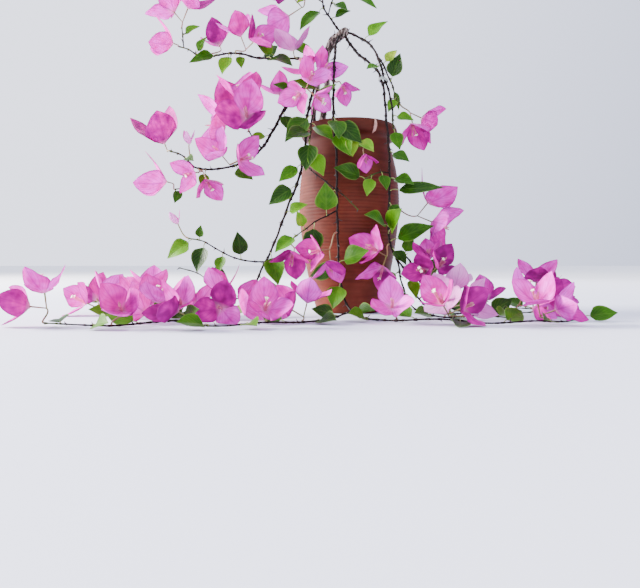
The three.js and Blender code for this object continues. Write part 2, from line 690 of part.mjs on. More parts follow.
/**
 * A bloom as one skin: a stalk that opens into three bracts round a slim tube flower. Neighbouring
 * bracts share the corner between them, and the flower stands on the middle.
 */
function bloomSkin({ stalk, base, axis, side, opening, shapes, wide, length }, grown) {
  const points = [];
  const faces = [];
  const add = (p) => points.push(lie(p, SURFACE.edge)) - 1;
  const round = (radius, lift, turn) => [0, 1, 2].map((i) => {
    const radial = side.clone().applyAxisAngle(axis, radians(120 * i + turn));
    return add(along(along(base, radial, radius), axis, lift));
  });
  const rings = stalkRings(stalk, side.clone().applyAxisAngle(axis, radians(-60)));
  const numbered = rings.map((ring) => ring.map(add));
  const foot = numbered.at(-1);
  faces.push([numbered[0][0], numbered[0][2], numbered[0][1]]);
  for (let r = 0; r + 1 < numbered.length; r++) joinRings(faces, numbered[r], numbered[r + 1]);
  const bare = faces.length;
  const corner = round(1.3, 0, -60);
  const under = round(1.1, -0.8, 0);
  const inner = round(0.7, 0.8, 0);
  const mouth = round(1.6, 0.58 * length, 0);
  joinRings(faces, inner, mouth);
  faces.push([mouth[0], mouth[1], mouth[2]]);
  shapes.forEach((shape, i) => {
    const next = (i + 1) % 3;
    faces.push([foot[i], foot[next], under[i]], [foot[i], under[i], corner[i]]);
    faces.push([foot[next], corner[next], under[i]], [inner[i], corner[next], inner[next]]);
    const radial = side.clone().applyAxisAngle(axis, radians(120 * i));
    const [c, r] = [Math.cos(opening), Math.sin(opening)];
    const form = {
      start: base, length, wide,
      dir: along(radial.clone().multiplyScalar(r), axis, c),
      face: along(axis.clone().multiplyScalar(r), radial, -c),
      bend: BRACT.bend + 0.12 * shape.bend, fold: -0.05 + 0.07 * shape.fold, wave: 0.08 * shape.wave,
    };
    let ring = [corner[next], inner[i], corner[i], under[i]];
    for (const blade of bladeRings(BRACT, form, grown)) {
      const numbers = blade.map((p) => points.push(p) - 1);
      joinRings(faces, ring, numbers);
      ring = numbers;
    }
  });
  return { ...skinOf(points, faces), bare };
}

/** Three-sided rings along a stalk, carried back without twist from the last one's side. */
function stalkRings(stalk, side) {
  const rings = [];
  for (const { centre, tangent, radius = STALK_RADIUS } of stalk.toReversed()) {
    side = squareTo(tangent, side);
    rings.unshift(circle(centre, tangent, side, radius, 3));
  }
  return rings;
}

// ---------------------------------------------------------------- pot and soil
/** A solid turned about Z from [radius, height] points that start and end on the axis. */
function turned(profile) {
  const points = profile.map(([r, z]) => new THREE.Vector2(r, z));
  return solidOfGeometry(new THREE.LatheGeometry(points, POT_SIDES).rotateX(Math.PI / 2));
}

/** An upright round bar, for the holes. */
function bar(x, y, low, high, radius) {
  const geometry = new THREE.CylinderGeometry(radius, radius, high - low, 10);
  return solidOfGeometry(geometry.rotateX(Math.PI / 2).translate(x, y, (low + high) / 2));
}

function makePot() {
  let pot = turned([[0, 0], ...POT_OUTSIDE, ...POT_INSIDE, [0, POT_FLOOR]]);
  for (let i = 0; i < DRAIN.count; i++) {
    const a = (2 * Math.PI * (i + 0.25)) / DRAIN.count;
    const [x, y] = [DRAIN.ring * Math.cos(a), DRAIN.ring * Math.sin(a)];
    pot = pot.subtract(bar(x, y, -5, POT_FLOOR + 5, DRAIN.radius));
  }
  return meshOf('pot', pot, PAINT.clay());
}

function makeSoil() {
  const wall = POT_INSIDE.filter(([, z]) => z < SOIL_TOP).map(([r, z]) => [r - GAP, z + GAP]).reverse();
  const top = [[44.2, SOIL_TOP - 1], [24, SOIL_TOP + 0.7 * SOIL_MOUND], [0, SOIL_TOP + SOIL_MOUND]];
  const body = turned([[0, POT_FLOOR + GAP], ...wall, ...top]);
  const { x, y, low, radius } = TRUNK_FOOT;
  return meshOf('soil', body.subtract(bar(x, y, low - GAP, SOIL_TOP + 20, radius + 2 * GAP)), PAINT.soil());
}

// ---------------------------------------------------------------- the tie on the two right-hand stems
/** A flat band round two runs, each with the place where the band holds it. */
function makeTie(one, other) {
  const [a, b] = [one.run.at(one.place), other.run.at(other.place)];
  const lengthwise = one.run.towards(one.place).add(other.run.towards(other.place)).normalize();
  const across = squareTo(lengthwise, b.clone().sub(a));
  const up = lengthwise.clone().cross(across);
  const half = b.clone().sub(a).dot(across) / 2;
  const inner = Math.max(one.run.radius(one.place), other.run.radius(other.place)) + 2 * GAP;
  const shape = stadium(half, inner + 0.9);
  shape.holes.push(stadium(half, inner));
  const geometry = new THREE.ExtrudeGeometry(shape, { depth: 4, bevelEnabled: false, curveSegments: 4 });
  geometry.translate(0, 0, -2);
  const frame = new THREE.Matrix4().makeBasis(across, up, lengthwise);
  frame.setPosition(a.clone().add(b).multiplyScalar(0.5));
  return meshOf('tie', solidOfGeometry(geometry.applyMatrix4(frame)), PAINT.tie());
}

/** A ring outline with straight sides: two half circles, each half away from the middle. */
function stadium(half, radius) {
  const shape = new THREE.Shape();
  shape.absarc(half, 0, radius, -Math.PI / 2, Math.PI / 2);
  shape.absarc(-half, 0, radius, Math.PI / 2, (3 * Math.PI) / 2);
  shape.closePath();
  return shape;
}

// ---------------------------------------------------------------- the whole plant
const stems = {};
for (const [name, rows] of Object.entries({ trunk: TRUNK, ...STEMS })) {
  stems[name] = [];
  for (const row of rows) stems[name].push(openRun(row, stems));
}

const skins = {};
for (const [name, runs] of Object.entries(stems)) {
  skins[name] = runs.map((run) => stemSkin(run, name === 'trunk' ? 7 : 4));
  skins[name].forEach((skin) => placed.push({ node: name, skin }));
}

const heads = [];
for (const [name, runs] of Object.entries(stems)) {
  const rows = runs.flatMap((run) => (run.heads ?? []).map((row) => ({ run, row })));
  rows.forEach(({ run, row }, i) => {
    const node = `blooms_${name}_${i + 1}`;
    heads.push({ node, pale: row[8] === 1, parts: addHead(node, run, row) });
  });
}

for (const [name, runs] of Object.entries(stems)) {
  for (const run of runs) {
    for (const row of run.leaves ?? []) skins[name].push(addLeaf(name, run, row));
  }
}

/** A leafy stem as one solid, cut back from the stem that it grows from. */
function leafyStem(name) {
  const parent = stems[name][0].from[0];
  const seat = union(stems[parent].map((run) => solidOf(stemSkin(run, 7, GAP + 0.1))));
  return union(skins[name].map(solidOf)).subtract(seat);
}

const bonsai = new THREE.Group();
bonsai.name = 'bougainvillea_bonsai';
bonsai.add(makePot(), makeSoil());
bonsai.add(meshOf('trunk', union(skins.trunk.map(solidOf)), PAINT.bark()));
for (const name of Object.keys(STEMS)) bonsai.add(meshOf(name, leafyStem(name), PAINT.leafy()));
for (const { node, pale, parts } of heads) {
  bonsai.add(meshOf(node, union(parts.map(solidOf)), pale ? PAINT.pale() : PAINT.bract()));
}
bonsai.add(makeTie({ run: stems.arch_right[0], place: 3.1 }, { run: stems.arch_right_inner[0], place: 4.1 }));

export default bonsai;
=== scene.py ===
"""Bougainvillea bonsai in a round-bellied stoneware pot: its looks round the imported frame.

Blender works in metres, +Z up, with the front facing -Y. The shapes below are worked out in
millimetres and turned to metres where their meshes are made.
"""

from functools import partial

import bpy
import numpy as np
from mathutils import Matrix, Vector


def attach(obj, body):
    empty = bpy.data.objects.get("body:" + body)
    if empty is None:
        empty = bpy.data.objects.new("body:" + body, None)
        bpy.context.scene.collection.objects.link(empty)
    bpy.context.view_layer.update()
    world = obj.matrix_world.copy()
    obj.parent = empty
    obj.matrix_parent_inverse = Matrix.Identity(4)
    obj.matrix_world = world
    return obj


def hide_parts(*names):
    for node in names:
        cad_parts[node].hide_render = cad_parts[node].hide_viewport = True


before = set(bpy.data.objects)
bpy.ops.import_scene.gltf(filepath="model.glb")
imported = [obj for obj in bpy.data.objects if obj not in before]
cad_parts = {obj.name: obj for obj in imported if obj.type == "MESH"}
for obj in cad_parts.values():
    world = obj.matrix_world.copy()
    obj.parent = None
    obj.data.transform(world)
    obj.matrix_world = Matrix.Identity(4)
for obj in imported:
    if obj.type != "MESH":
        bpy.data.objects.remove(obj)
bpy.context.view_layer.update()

# -------------------- driving dimensions, in mm
MM = 0.001
POT_SIDES = 168
POT_FLOOR = 8
POT_LIP = 226
SOIL_TOP = 213
SOIL_MOUND = 3
SOIL_RADIUS = 44
DRAIN = {"radius": 4.5, "ring": 21, "count": 3}
POT_OUTSIDE = [
    [38.5, 0], [40.5, 2.5], [46, 25], [51.5, 48], [57, 80], [60.5, 108], [61.8, 130], [61, 150],
    [58.5, 170], [54, 190], [50.5, 202], [50.8, 208.5], [57.2, 212.5], [59.2, 219], [56.8, POT_LIP],
]
POT_INSIDE = [
    [51.5, POT_LIP - 0.5], [45.6, 218], [44.4, 210], [49, 189], [55.2, 160], [56.7, 128], [52, 80],
    [46.4, 48], [40, 22], [35, POT_FLOOR],
]
RIBS = {"low": 52, "high": 176, "apart": 3.9, "proud": 0.5}  # the turning ribs on the belly

STALK_RADIUS = 0.85
LEAF = {"wide": 0.72, "near": 0.6, "far": 1.15, "petiole": 0.2, "thick": 0.5, "grid": (9, 7)}
# A bract leaves the flower's axis at the opening, in degrees, and bends back in towards it.
BRACT = {
    "wide": 0.84, "near": 0.62, "far": 0.85, "thick": 0.34, "grid": (8, 5), "opening": 60, "bend": -0.3,
}
BUD = {"longest": 20, "wide": 0.56, "opening": 44}  # shorter bracts are still nearly closed
SURFACE = {"under": 0.4, "edge": 0.9}  # lowest heights of what lies on the surface
GAP = 0.3
TRUNK_FOOT = (-34, 6)
GRAINS = {"count": 150, "reach": 42, "round_trunk": 7}  # grit strewn over the soil

# A blade's look: pairs of side veins, how far they slant forward and half their thickness, lumps of
# uneven colour in mm with their detail and strength, and how strongly veins and margin show.
LEAF_LOOK = {
    "pairs": 6.0, "slant": 0.5, "thin": 0.16, "lumps": 8, "detail": 3.0, "uneven": 0.5, "net": 0.12,
    "margin": 0.3,
}
BRACT_LOOK = {
    "pairs": 5.0, "slant": 0.75, "thin": 0.17, "lumps": 9, "detail": 1.0, "uneven": 0.9, "net": 0.45,
    "margin": 0.55,
}

# -------------------- materials
def shade(hex_colour):
    """Linear red, green, blue and alpha from an sRGB hex value."""
    c = np.array([int(hex_colour[i : i + 2], 16) / 255 for i in (1, 3, 5)])
    return (*np.where(c <= 0.04045, c / 12.92, ((c + 0.055) / 1.055) ** 2.4), 1.0)


def node(tree, kind, inputs=(), stops=(), out=None, **settings):
    """Adds a node: its settings by name, a colour ramp's stops as (place, hex colour), and a value
    or a link for each input, by name or by number among those in use. A hex string is a colour.
    Gives the named output, or else the first in use, or else the node."""
    made = tree.nodes.new("ShaderNode" + kind)
    for name, value in settings.items():
        setattr(made, name, value)
    for i, (place, colour) in enumerate(stops):
        elements = made.color_ramp.elements
        stop = elements[i] if i < 2 else elements.new(place)
        stop.position, stop.color = place, shade(colour)
    used = [socket for socket in made.inputs if socket.enabled]
    for key, value in dict(inputs).items():
        socket = used[key] if isinstance(key, int) else next(s for s in used if s.name == key)
        if isinstance(value, bpy.types.NodeSocket):
            tree.links.new(value, socket)
        else:
            socket.default_value = shade(value) if isinstance(value, str) else value
    if out:
        return made.outputs[out]
    return next((socket for socket in made.outputs if socket.enabled), made)


def per_mm(size):
    """The scale of a pattern over metres whose lumps are that many millimetres across."""
    return 1 / (size * MM)


def new_finish(name):
    """An empty material, the adder of its nodes and its Object coordinates."""
    material = bpy.data.materials.new(name)
    material.use_nodes = True
    material.node_tree.nodes.clear()
    add = partial(node, material.node_tree)
    return material, add, add("TexCoord", out="Object")


def lumpy(add, place, size_mm, fine, stops):
    """Lumps of a size, and their colours from low to high."""
    lumps = add("TexNoise", {"Vector": place, "Scale": per_mm(size_mm), "Detail": fine})
    return lumps, add("ValToRGB", {"Fac": lumps}, stops=stops)


def lay(material, colour, over, relief, depth_mm, through=0, **sockets):
    """Ends a material: a Principled shader with a colour, others over it as (share, colour), and a
    relief. through is the share of light that comes through in the same colour where it is thin."""
    add = partial(node, material.node_tree)
    for share, upper in over:
        colour = add("Mix", {"Factor": share, "A": colour, "B": upper}, data_type="RGBA")
    normal = add("Bump", {"Height": relief, "Distance": depth_mm * MM, "Strength": 0.7})
    inputs = {key.replace("_", " "): value for key, value in sockets.items()}
    skin = add("BsdfPrincipled", {"Base Color": colour, "Normal": normal, **inputs})
    if through:
        behind = add("BsdfTranslucent", {"Color": colour, "Normal": normal})
        skin = add("MixShader", {0: through, 1: skin, 2: behind})
    add("OutputMaterial", {"Surface": skin})
    return material


def blade_colour(add, place, tones, vein, look):
    """What leaves and bracts share: a colour, the shares of its veins and margin to lay over it,
    its lumps, its veins (1 on a line, 0 between) and the place along. The UV map gives |t|, 0 to 1
    from the midrib, and s along. A side vein leaves the midrib at each 1 / pairs of the length and
    runs forward by slant x |t|."""
    uv = add("UVMap", uv_map="UVMap")
    along = add("SeparateXYZ", {"Vector": uv}, out="Y")
    across = add("SeparateXYZ", {"Vector": uv}, out="X")
    across = add("Math", {0: across, 1: 2.0, 2: -1.0}, operation="MULTIPLY_ADD")
    across = add("Math", {0: across}, operation="ABSOLUTE")
    near = add("Math", {0: across, 1: -look["slant"], 2: along}, operation="MULTIPLY_ADD")
    near = add("Math", {0: near, 1: look["pairs"]}, operation="MULTIPLY")
    near = add("Math", {0: near, 1: 0.5}, operation="PINGPONG")
    thin = look["thin"]
    side = add("MapRange", {"Value": near, "From Max": thin, "To Min": 0.65, "To Max": 0.0})
    midrib = add("MapRange", {"Value": across, "From Max": 0.1, "To Min": 1.0, "To Max": 0.0})
    veins = add("Math", {0: side, 1: midrib}, operation="MAXIMUM")
    scale = per_mm(look["lumps"])
    lumps = add("TexNoise", {"Vector": place, "Scale": scale, "Detail": look["detail"]})
    tone = add("Attribute", out="Fac", attribute_name="tone")
    tone = add("Math", {0: lumps, 1: look["uneven"], 2: tone}, operation="MULTIPLY_ADD")
    tone = add("Math", {0: tone, 1: look["uneven"] / 2}, operation="SUBTRACT")
    colour = add("ValToRGB", {"Fac": tone}, stops=tones)
    net = add("Math", {0: veins, 1: look["net"]}, operation="MULTIPLY")
    margin = add("MapRange", {"Value": across, "From Min": 0.8, "To Max": look["margin"]})
    return colour, [(net, vein), (margin, vein)], lumps, veins, along


def make_clay():
    """Red-brown stoneware, thrown on a wheel and fired without glaze. It gives a dry, faintly sandy
    skin with a low sheen and patches where the fire was hotter. Painted light makes the ribs'
    crests paler and leaves their grooves darker as painted shade; painted shade also darkens the
    shoulder and lip. The sand is drawn 0.9 mm across, about twice its size, so it shows."""
    material, add, place = new_finish("unglazed_stoneware")
    patches, colour = lumpy(add, place, 38, 4.0, CLAY)
    flat = add("Mapping", {"Vector": place, "Scale": (0.08, 0.08, 1)})
    _, lines = lumpy(add, flat, 3.4, 5.0, [(0.34, "#9a8078"), (0.6, "#ffffff")])
    inputs = {"Factor": 0.4, "A": colour, "B": lines}
    colour = add("Mix", inputs, data_type="RGBA", blend_type="MULTIPLY")
    # painted light and shade: paler where the ribs rise, so the grooves between them stay darker
    crest = add("Attribute", out="Fac", attribute_name="tone")
    crest = add("MapRange", {"Value": crest, "From Min": 0.42, "From Max": 0.8, "To Max": 0.45})
    height = add("SeparateXYZ", {"Vector": place}, out="Z")
    # painted shade: the clay turns darker from 150 mm up towards the lip, for the shade under the
    # foliage
    lip_painted_shade = add("MapRange", {"Value": height, "From Min": 0.15, "From Max": 0.21, "To Max": 0.55})
    sand = add("TexNoise", {"Vector": place, "Scale": per_mm(0.9), "Detail": 4.0})
    rough = add("MapRange", {"Value": patches, "To Min": 0.5, "To Max": 0.66})
    gloss = {"Roughness": rough, "IOR": 1.5, "Specular_IOR_Level": CLAY_SHEEN}
    return lay(material, colour, [(crest, CLAY_PAINTED_CREST_LIGHT), (lip_painted_shade, CLAY_PAINTED_SHADE)], sand, 0.12, **gloss)


def make_soil_finish():
    """Damp potting mix: near-black brown crumbs, with green algae where it stays wet."""
    material, add, place = new_finish("potting_mix")
    crumbs, colour = lumpy(add, place, 2.2, 6.0, CRUMBS)
    wet = add("TexNoise", {"Vector": place, "Scale": per_mm(14), "Detail": 3.0})
    wet = add("MapRange", {"Value": wet, "From Min": 0.56, "From Max": 0.66})
    return lay(material, colour, [(wet, "#4f5c24")], crumbs, 1.0, Roughness=0.92)


def make_grit():
    """Crushed baked clay and pumice: tan to reddish grains, each in its own tone."""
    material, add, place = new_finish("bonsai_grit")
    tone = add("Attribute", out="Fac", attribute_name="tone")
    colour = add("ValToRGB", {"Fac": tone}, stops=GRIT)
    pits = add("TexNoise", {"Vector": place, "Scale": per_mm(0.6), "Detail": 3.0})
    return lay(material, colour, [], pits, 0.15, Roughness=0.9)


def make_bark():
    """Old bougainvillea bark, split lengthwise as the stem thickened: dark cracks between pale,
    dry, corky ridges. The ridges are drawn 3 mm apart, about twice the real width, so they show."""
    material, add, place = new_finish("old_bark")
    upright = add("Mapping", {"Vector": place, "Scale": (1, 1, 0.28)})
    cracks = {"Vector": upright, "Scale": per_mm(3), "Detail": 5.0, "Roughness": 0.65}
    grain = add("TexNoise", cracks)
    colour = add("ValToRGB", {"Fac": grain}, stops=BARK)
    return lay(material, colour, [], grain, 1.2, Roughness=0.88, Specular_IOR_Level=0.25)


def make_young_bark():
    """Young bark, smooth and tight: dark red-brown, flecked with pale pores, and green where the
    tip is still soft. The pores are drawn 1 mm across, about twice their size, so they show."""
    material, add, place = new_finish("young_bark")
    streak, brown = lumpy(add, place, 3.5, 4.0, YOUNG_BARK)
    pores = add("TexNoise", {"Vector": place, "Scale": per_mm(1.0), "Detail": 1.0})
    pores = add("MapRange", {"Value": pores, "From Min": 0.64, "From Max": 0.74, "To Max": 0.35})
    soft = add("Attribute", out="Fac", attribute_name="tone")
    soft = add("Math", {0: soft, 1: 0.75}, operation="MULTIPLY")
    over = [(pores, "#66503f"), (soft, "#4a5c20")]
    return lay(material, brown, over, streak, 0.3, Roughness=0.6, Specular_IOR_Level=0.15)


def make_leaf(name, tones, vein, roughness):
    """A leaf's skin, by its colours from the oldest leaf to the youngest: paler veins and margin,
    uneven green between, and green light through the blade."""
    material, add, place = new_finish(name)
    colour, over, lumps, veins, _ = blade_colour(add, place, tones, vein, LEAF_LOOK)
    relief = add("Math", {0: lumps, 1: veins}, operation="SUBTRACT")
    gloss = {"Roughness": roughness, "IOR": 1.42, "Specular_IOR_Level": 0.2}
    return lay(material, colour, over, relief, 0.25, 0.2, **gloss)


def make_bract(name, tones, vein, throat):
    """A bougainvillea bract: thin dry tissue like crepe paper, netted with darker veins, creased,
    darker at its margin and paler at its throat, and lit through from behind."""
    material, add, place = new_finish(name)
    colour, over, lumps, _, along = blade_colour(add, place, tones, vein, BRACT_LOOK)
    near = add("MapRange", {"Value": along, "From Max": 0.2, "To Min": 0.6, "To Max": 0.0})
    gloss = {"Roughness": 0.6, "IOR": 1.4, "Specular_IOR_Level": 0.12}
    return lay(material, colour, [*over, (near, throat)], lumps, 0.22, 0.3, **gloss)


def make_soft(name, low, high, size_mm, roughness, relief_mm):
    """A soft surface in two shades of one colour, in lumps of a size."""
    material, add, place = new_finish(name)
    lumps, colour = lumpy(add, place, size_mm, 3.0, [(0.3, low), (0.7, high)])
    return lay(material, colour, [], lumps, relief_mm, Roughness=roughness)


CLAY = [(0.3, "#48190e"), (0.5, "#5a2214"), (0.72, "#6c3022")]
# painted light on the ribs' crests, which leaves the grooves darker as painted shade
CLAY_PAINTED_CREST_LIGHT = "#7e4632"
CLAY_PAINTED_SHADE = "#34120a"  # painted shade: the shoulder and lip made darker, for the shade the foliage casts on them
CLAY_SHEEN = 0.12
CRUMBS = [(0.3, "#1c120c"), (0.5, "#3a281c"), (0.7, "#5c4733")]
GRIT = [(0.0, "#4a3324"), (0.5, "#8a6a4c"), (1.0, "#b79a78")]
BARK = [(0.37, "#140e0b"), (0.5, "#4a3e37"), (0.65, "#b6aaa0")]
YOUNG_BARK = [(0.3, "#080403"), (0.55, "#160a07"), (0.75, "#301a13")]
LEAF_TONES = [(0.0, "#183a04"), (0.35, "#336604"), (0.75, "#5e970c"), (1.0, "#acba3c")]
UNDER_TONES = [(0.0, "#2c5022"), (0.5, "#43702c"), (1.0, "#7f9a48")]
BRACT_TONES = [(0.0, "#8c0472"), (0.42, "#de08b4"), (1.0, "#ff64f2")]
PALE_TONES = [(0.0, "#d66cc2"), (0.5, "#f09ae2"), (1.0, "#fcc8f4")]
DRY_TONES = [(0.0, "#a8746c"), (1.0, "#dcae9e")]

finishes = {
    "clay": make_clay(),
    "soil": make_soil_finish(),
    "grit": make_grit(),
    "bark": make_bark(),
    "stem": make_young_bark(),
    # Thorn wood, grown hard and smooth: brown with a slight shine.
    "thorn": make_soft("thorn_wood", "#140907", "#34201a", 1.5, 0.5, 0.05),
    # The waxy upper skin: mid to dark green with a soft shine.
    "leaf": make_leaf("waxy_leaf_skin", LEAF_TONES, "#8fb848", 0.4),
    # The duller, paler underside, without the wax.
    "leaf_under": make_leaf("leaf_underside", UNDER_TONES, "#8fae62", 0.62),
    # Leaf stalks, soft and green with a brown flush.
    "leaf_stalk": make_soft("leaf_stalk", "#5c6a2c", "#8aa048", 3, 0.5, 0.1),
    "bract": make_bract("magenta_bract", BRACT_TONES, "#96107c", "#f3c9d8"),
    "pale_bract": make_bract("pale_bract", PALE_TONES, "#b448a4", "#fbe6ee"),
    # A dead bract, bleached and dried in the sun: cream with a last trace of pink.
    "dry_bract": make_bract("withered_bract", DRY_TONES, "#a8746c", "#e8d6c8"),
    # Tube flowers in bud: dusky pink with a waxy skin.
    "flower_tube": make_soft("flower_tube", "#b8587c", "#e2a0a8", 5, 0.5, 0.1),
    # The open flower's limb: matte cream.
    "flower_limb": make_soft("flower_limb", "#f6e6c0", "#fff6e2", 1.2, 0.6, 0.08),
    # Flower stalks: green, flushed with red.
    "flower_stalk": make_soft("flower_stalk", "#66752e", "#8e5444", 8, 0.5, 0.1),
    # Grafting tape, a stretched film: pale and slightly shiny.
    "tie": make_soft("grafting_tape", "#7e8680", "#aab0aa", 2, 0.45, 0.15),
}

# -------------------- small tools
UP = np.array([0.0, 0.0, 1.0])


def unit(v):
    """Vectors of length one along the last axis."""
    v = np.asarray(v, float)
    return v / np.maximum(np.linalg.norm(v, axis=-1, keepdims=True), 1e-12)


def aim(angle, depth):
    """A direction from its angle seen from the front and its lean towards the front."""
    a, d = np.radians(angle), np.radians(depth)
    return np.stack([np.cos(a) * np.cos(d), -np.sin(d) + 0 * a, np.sin(a) * np.cos(d)], -1)


def square_to(direction, wanted):
    """The unit vector square to a direction that is nearest to the wanted one."""
    wanted = np.asarray(wanted, float)
    side = wanted - direction * wanted.dot(direction)
    if side.dot(side) > 1e-4:
        return unit(side)
    return square_to(direction, wanted[[2, 0, 1]])


def turn(v, axis, angle):
    """A vector turned about a unit axis by Rodrigues' formula."""
    c, s = np.cos(angle), np.sin(angle)
    return v * c + np.cross(axis, v) * s + axis * np.dot(axis, v) * (1 - c)


def lift(points, lowest, soft=1.2):
    """Points kept above a height by the smooth maximum soft x log(1 + exp(over / soft))."""
    points = np.array(points, float)
    points[..., 2] = lowest + soft * np.logaddexp(0, (points[..., 2] - lowest) / soft)
    return points


class Draws:
    """Seeded numbers from -1 to 1: seed = 1664525 x seed + 1013904223, modulo 2 to the 32."""

    def __init__(self, seed):
        self.seed = seed

    def __call__(self, count=None):
        if count is not None:
            return np.array([self() for _ in range(count)])
        self.seed = (self.seed * 1664525 + 1013904223) % 2**32
        return self.seed / 2**31 - 1


grown = Draws(2024)  # what the leaves and bracts share with the solids
detail = Draws(77)  # what only shows close up


def far_along(path):
    """The length of a path from its start to each of its points."""
    return np.concatenate([[0], np.cumsum(np.linalg.norm(np.diff(path, axis=0), axis=1))])


def smooth_curve(points):
    """A function of place along the cubic through points, whose slopes are half the chord between
    the neighbours. The ends continue straight on."""
    points = np.asarray(points, float)
    ends = 2 * points[[0, -1]] - points[[1, -2]]
    p = np.vstack([ends[:1], points, ends[1:]])

    def at(s):
        s = np.clip(np.asarray(s, float), 0, len(points) - 1)
        i = np.minimum(s.astype(int), len(points) - 2)
        t = (s - i)[..., None]
        p0, p1, p2, p3 = p[i], p[i + 1], p[i + 2], p[i + 3]
        m1, m2 = (p2 - p0) / 2, (p3 - p1) / 2
        cubic = 2 * p1 - 2 * p2 + m1 + m2
        square = -3 * p1 + 3 * p2 - 2 * m1 - m2
        return ((cubic * t + square) * t + m1) * t + p1

    return at


def ripple(u, v, seeds, octaves=3):
    """Smooth bumps from -1 to 1: a sum of sines of u and v, each octave twice as fine and half as
    high. The seeds shift and slant them."""
    total = 0
    for k in range(octaves):
        a, b, c = seeds[3 * k : 3 * k + 3]
        f = 2**k
        waves = np.sin(f * (u + 1.3 * a * v) + 7 * b) * np.cos(f * (v - 0.9 * b * u) + 7 * c)
        total = total + waves / f
    return total / (2 - 2.0 ** (1 - octaves))


# -------------------- skins to meshes
class Skin:
    """A mesh in the making: grids of points with their faces, material numbers, UVs and tones."""

    def __init__(self):
        self.points, self.tones, self.faces, self.uvs, self.stuff = [], [], [], [], []
        self.count = 0

    def add(self, points, faces, stuff=0, uv=None, tone=0.5):
        """Adds points and face arrays (count, corners), with one material number or one for each."""
        points = np.asarray(points, float).reshape(-1, 3)
        uv = np.zeros((len(points), 2)) if uv is None else uv
        for block, number in zip(faces, np.broadcast_to(stuff, len(faces))):
            self.faces.append(block + self.count)
            self.uvs.append(uv[block].reshape(-1, 2))
            self.stuff.append(np.full(len(block), number))
        self.points.append(points)
        self.tones.append(np.broadcast_to(np.asarray(tone, float).ravel(), len(points)))
        self.count += len(points)

    def mesh(self, name):
        """The finished mesh in metres, smooth, with its UV map and its tone attribute."""
        corners = np.concatenate([f.ravel() for f in self.faces])
        sizes = np.concatenate([np.full(len(f), f.shape[1]) for f in self.faces])
        mesh = bpy.data.meshes.new(name)
        mesh.vertices.add(self.count)
        mesh.loops.add(len(corners))
        mesh.polygons.add(len(sizes))
        put(mesh.vertices, "co", np.concatenate(self.points) * MM)
        put(mesh.loops, "vertex_index", corners, np.int32)
        put(mesh.polygons, "loop_start", np.cumsum(sizes) - sizes, np.int32)
        put(mesh.polygons, "material_index", np.concatenate(self.stuff), np.int32)
        put(mesh.uv_layers.new(name="UVMap").data, "uv", np.concatenate(self.uvs))
        put(mesh.attributes.new("tone", "FLOAT", "POINT").data, "value", np.concatenate(self.tones))
        mesh.update(calc_edges=True)
        mesh.shade_smooth()
        return mesh

    def piece(self, name, stuff, replaces, slot, sharp=60):
        """The finished object with its named finishes, riding on the root in place of its CAD node."""
        mesh = self.mesh(name)
        mesh.set_sharp_from_angle(angle=np.radians(sharp))
        for key in stuff:
            mesh.materials.append(finishes[key])
        made = shown(name, mesh)
        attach(made, "root")
        if replaces:
            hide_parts(replaces)
        return made


def put(data, key, values, kind=np.float32):
    """Writes an array into a property of mesh data."""
    data.foreach_set(key, values.astype(kind).ravel())


def shown(name, data):
    """A new object in the scene."""
    made = bpy.data.objects.new(name, data)
    bpy.context.scene.collection.objects.link(made)
    return made


def grid_faces(rows, cols, wrap=False):
    """The four-sided faces of a grid of points, facing along rows x columns. wrap joins the last
    column to the first."""
    i, j = np.meshgrid(np.arange(rows - 1), np.arange(cols if wrap else cols - 1), indexing="ij")
    i, k = i * cols, (j + 1) % cols
    return np.stack([i + j, i + cols + j, i + cols + k, i + k], -1).reshape(-1, 4)


def tube(skin, path, radius, sides, stuff=0, tone=0.5, rough=None):
    """A closed round tube. Each ring is centre + r (cos a side + sin a up), its side carried along
    the path without twist, and both ends are flat caps. rough(a, far) scales r."""
    path, radius = np.asarray(path, float), np.broadcast_to(radius, len(path))
    tangent = unit(np.gradient(path, axis=0))
    side = np.empty_like(path)
    side[0] = square_to(tangent[0], np.array([0.0, 1.0, 0.0]))
    for i in range(1, len(path)):
        side[i] = square_to(tangent[i], side[i - 1])
    up = np.cross(tangent, side)
    a = 2 * np.pi * np.arange(sides) / sides
    far = far_along(path)[:, None]
    r = radius[:, None] * (1 if rough is None else rough(a[None], far))
    ring = np.cos(a)[None, :, None] * side[:, None] + np.sin(a)[None, :, None] * up[:, None]
    points = path[:, None] + r[..., None] * ring
    caps = [np.arange(sides)[None, ::-1], (len(path) - 1) * sides + np.arange(sides)[None]]
    uv = np.stack(np.broadcast_arrays(a[None] / (2 * np.pi), far / 10), -1).reshape(-1, 2)
    skin.add(points, [grid_faces(len(path), sides, True)[:, ::-1], *caps], stuff, uv, tone)


def spindle(skin, start, direction, length, radius, bow, sides, stuff):
    """A thorn or stub: radius x (1 - 0.94 t)^0.8 along start + t x length x direction + t^2 x bow."""
    t = np.linspace(0, 1, 5)[:, None]
    path = start + t * length * direction + t**2 * bow
    tube(skin, path, radius * (1 - 0.94 * t[:, 0]) ** 0.8, sides, stuff)


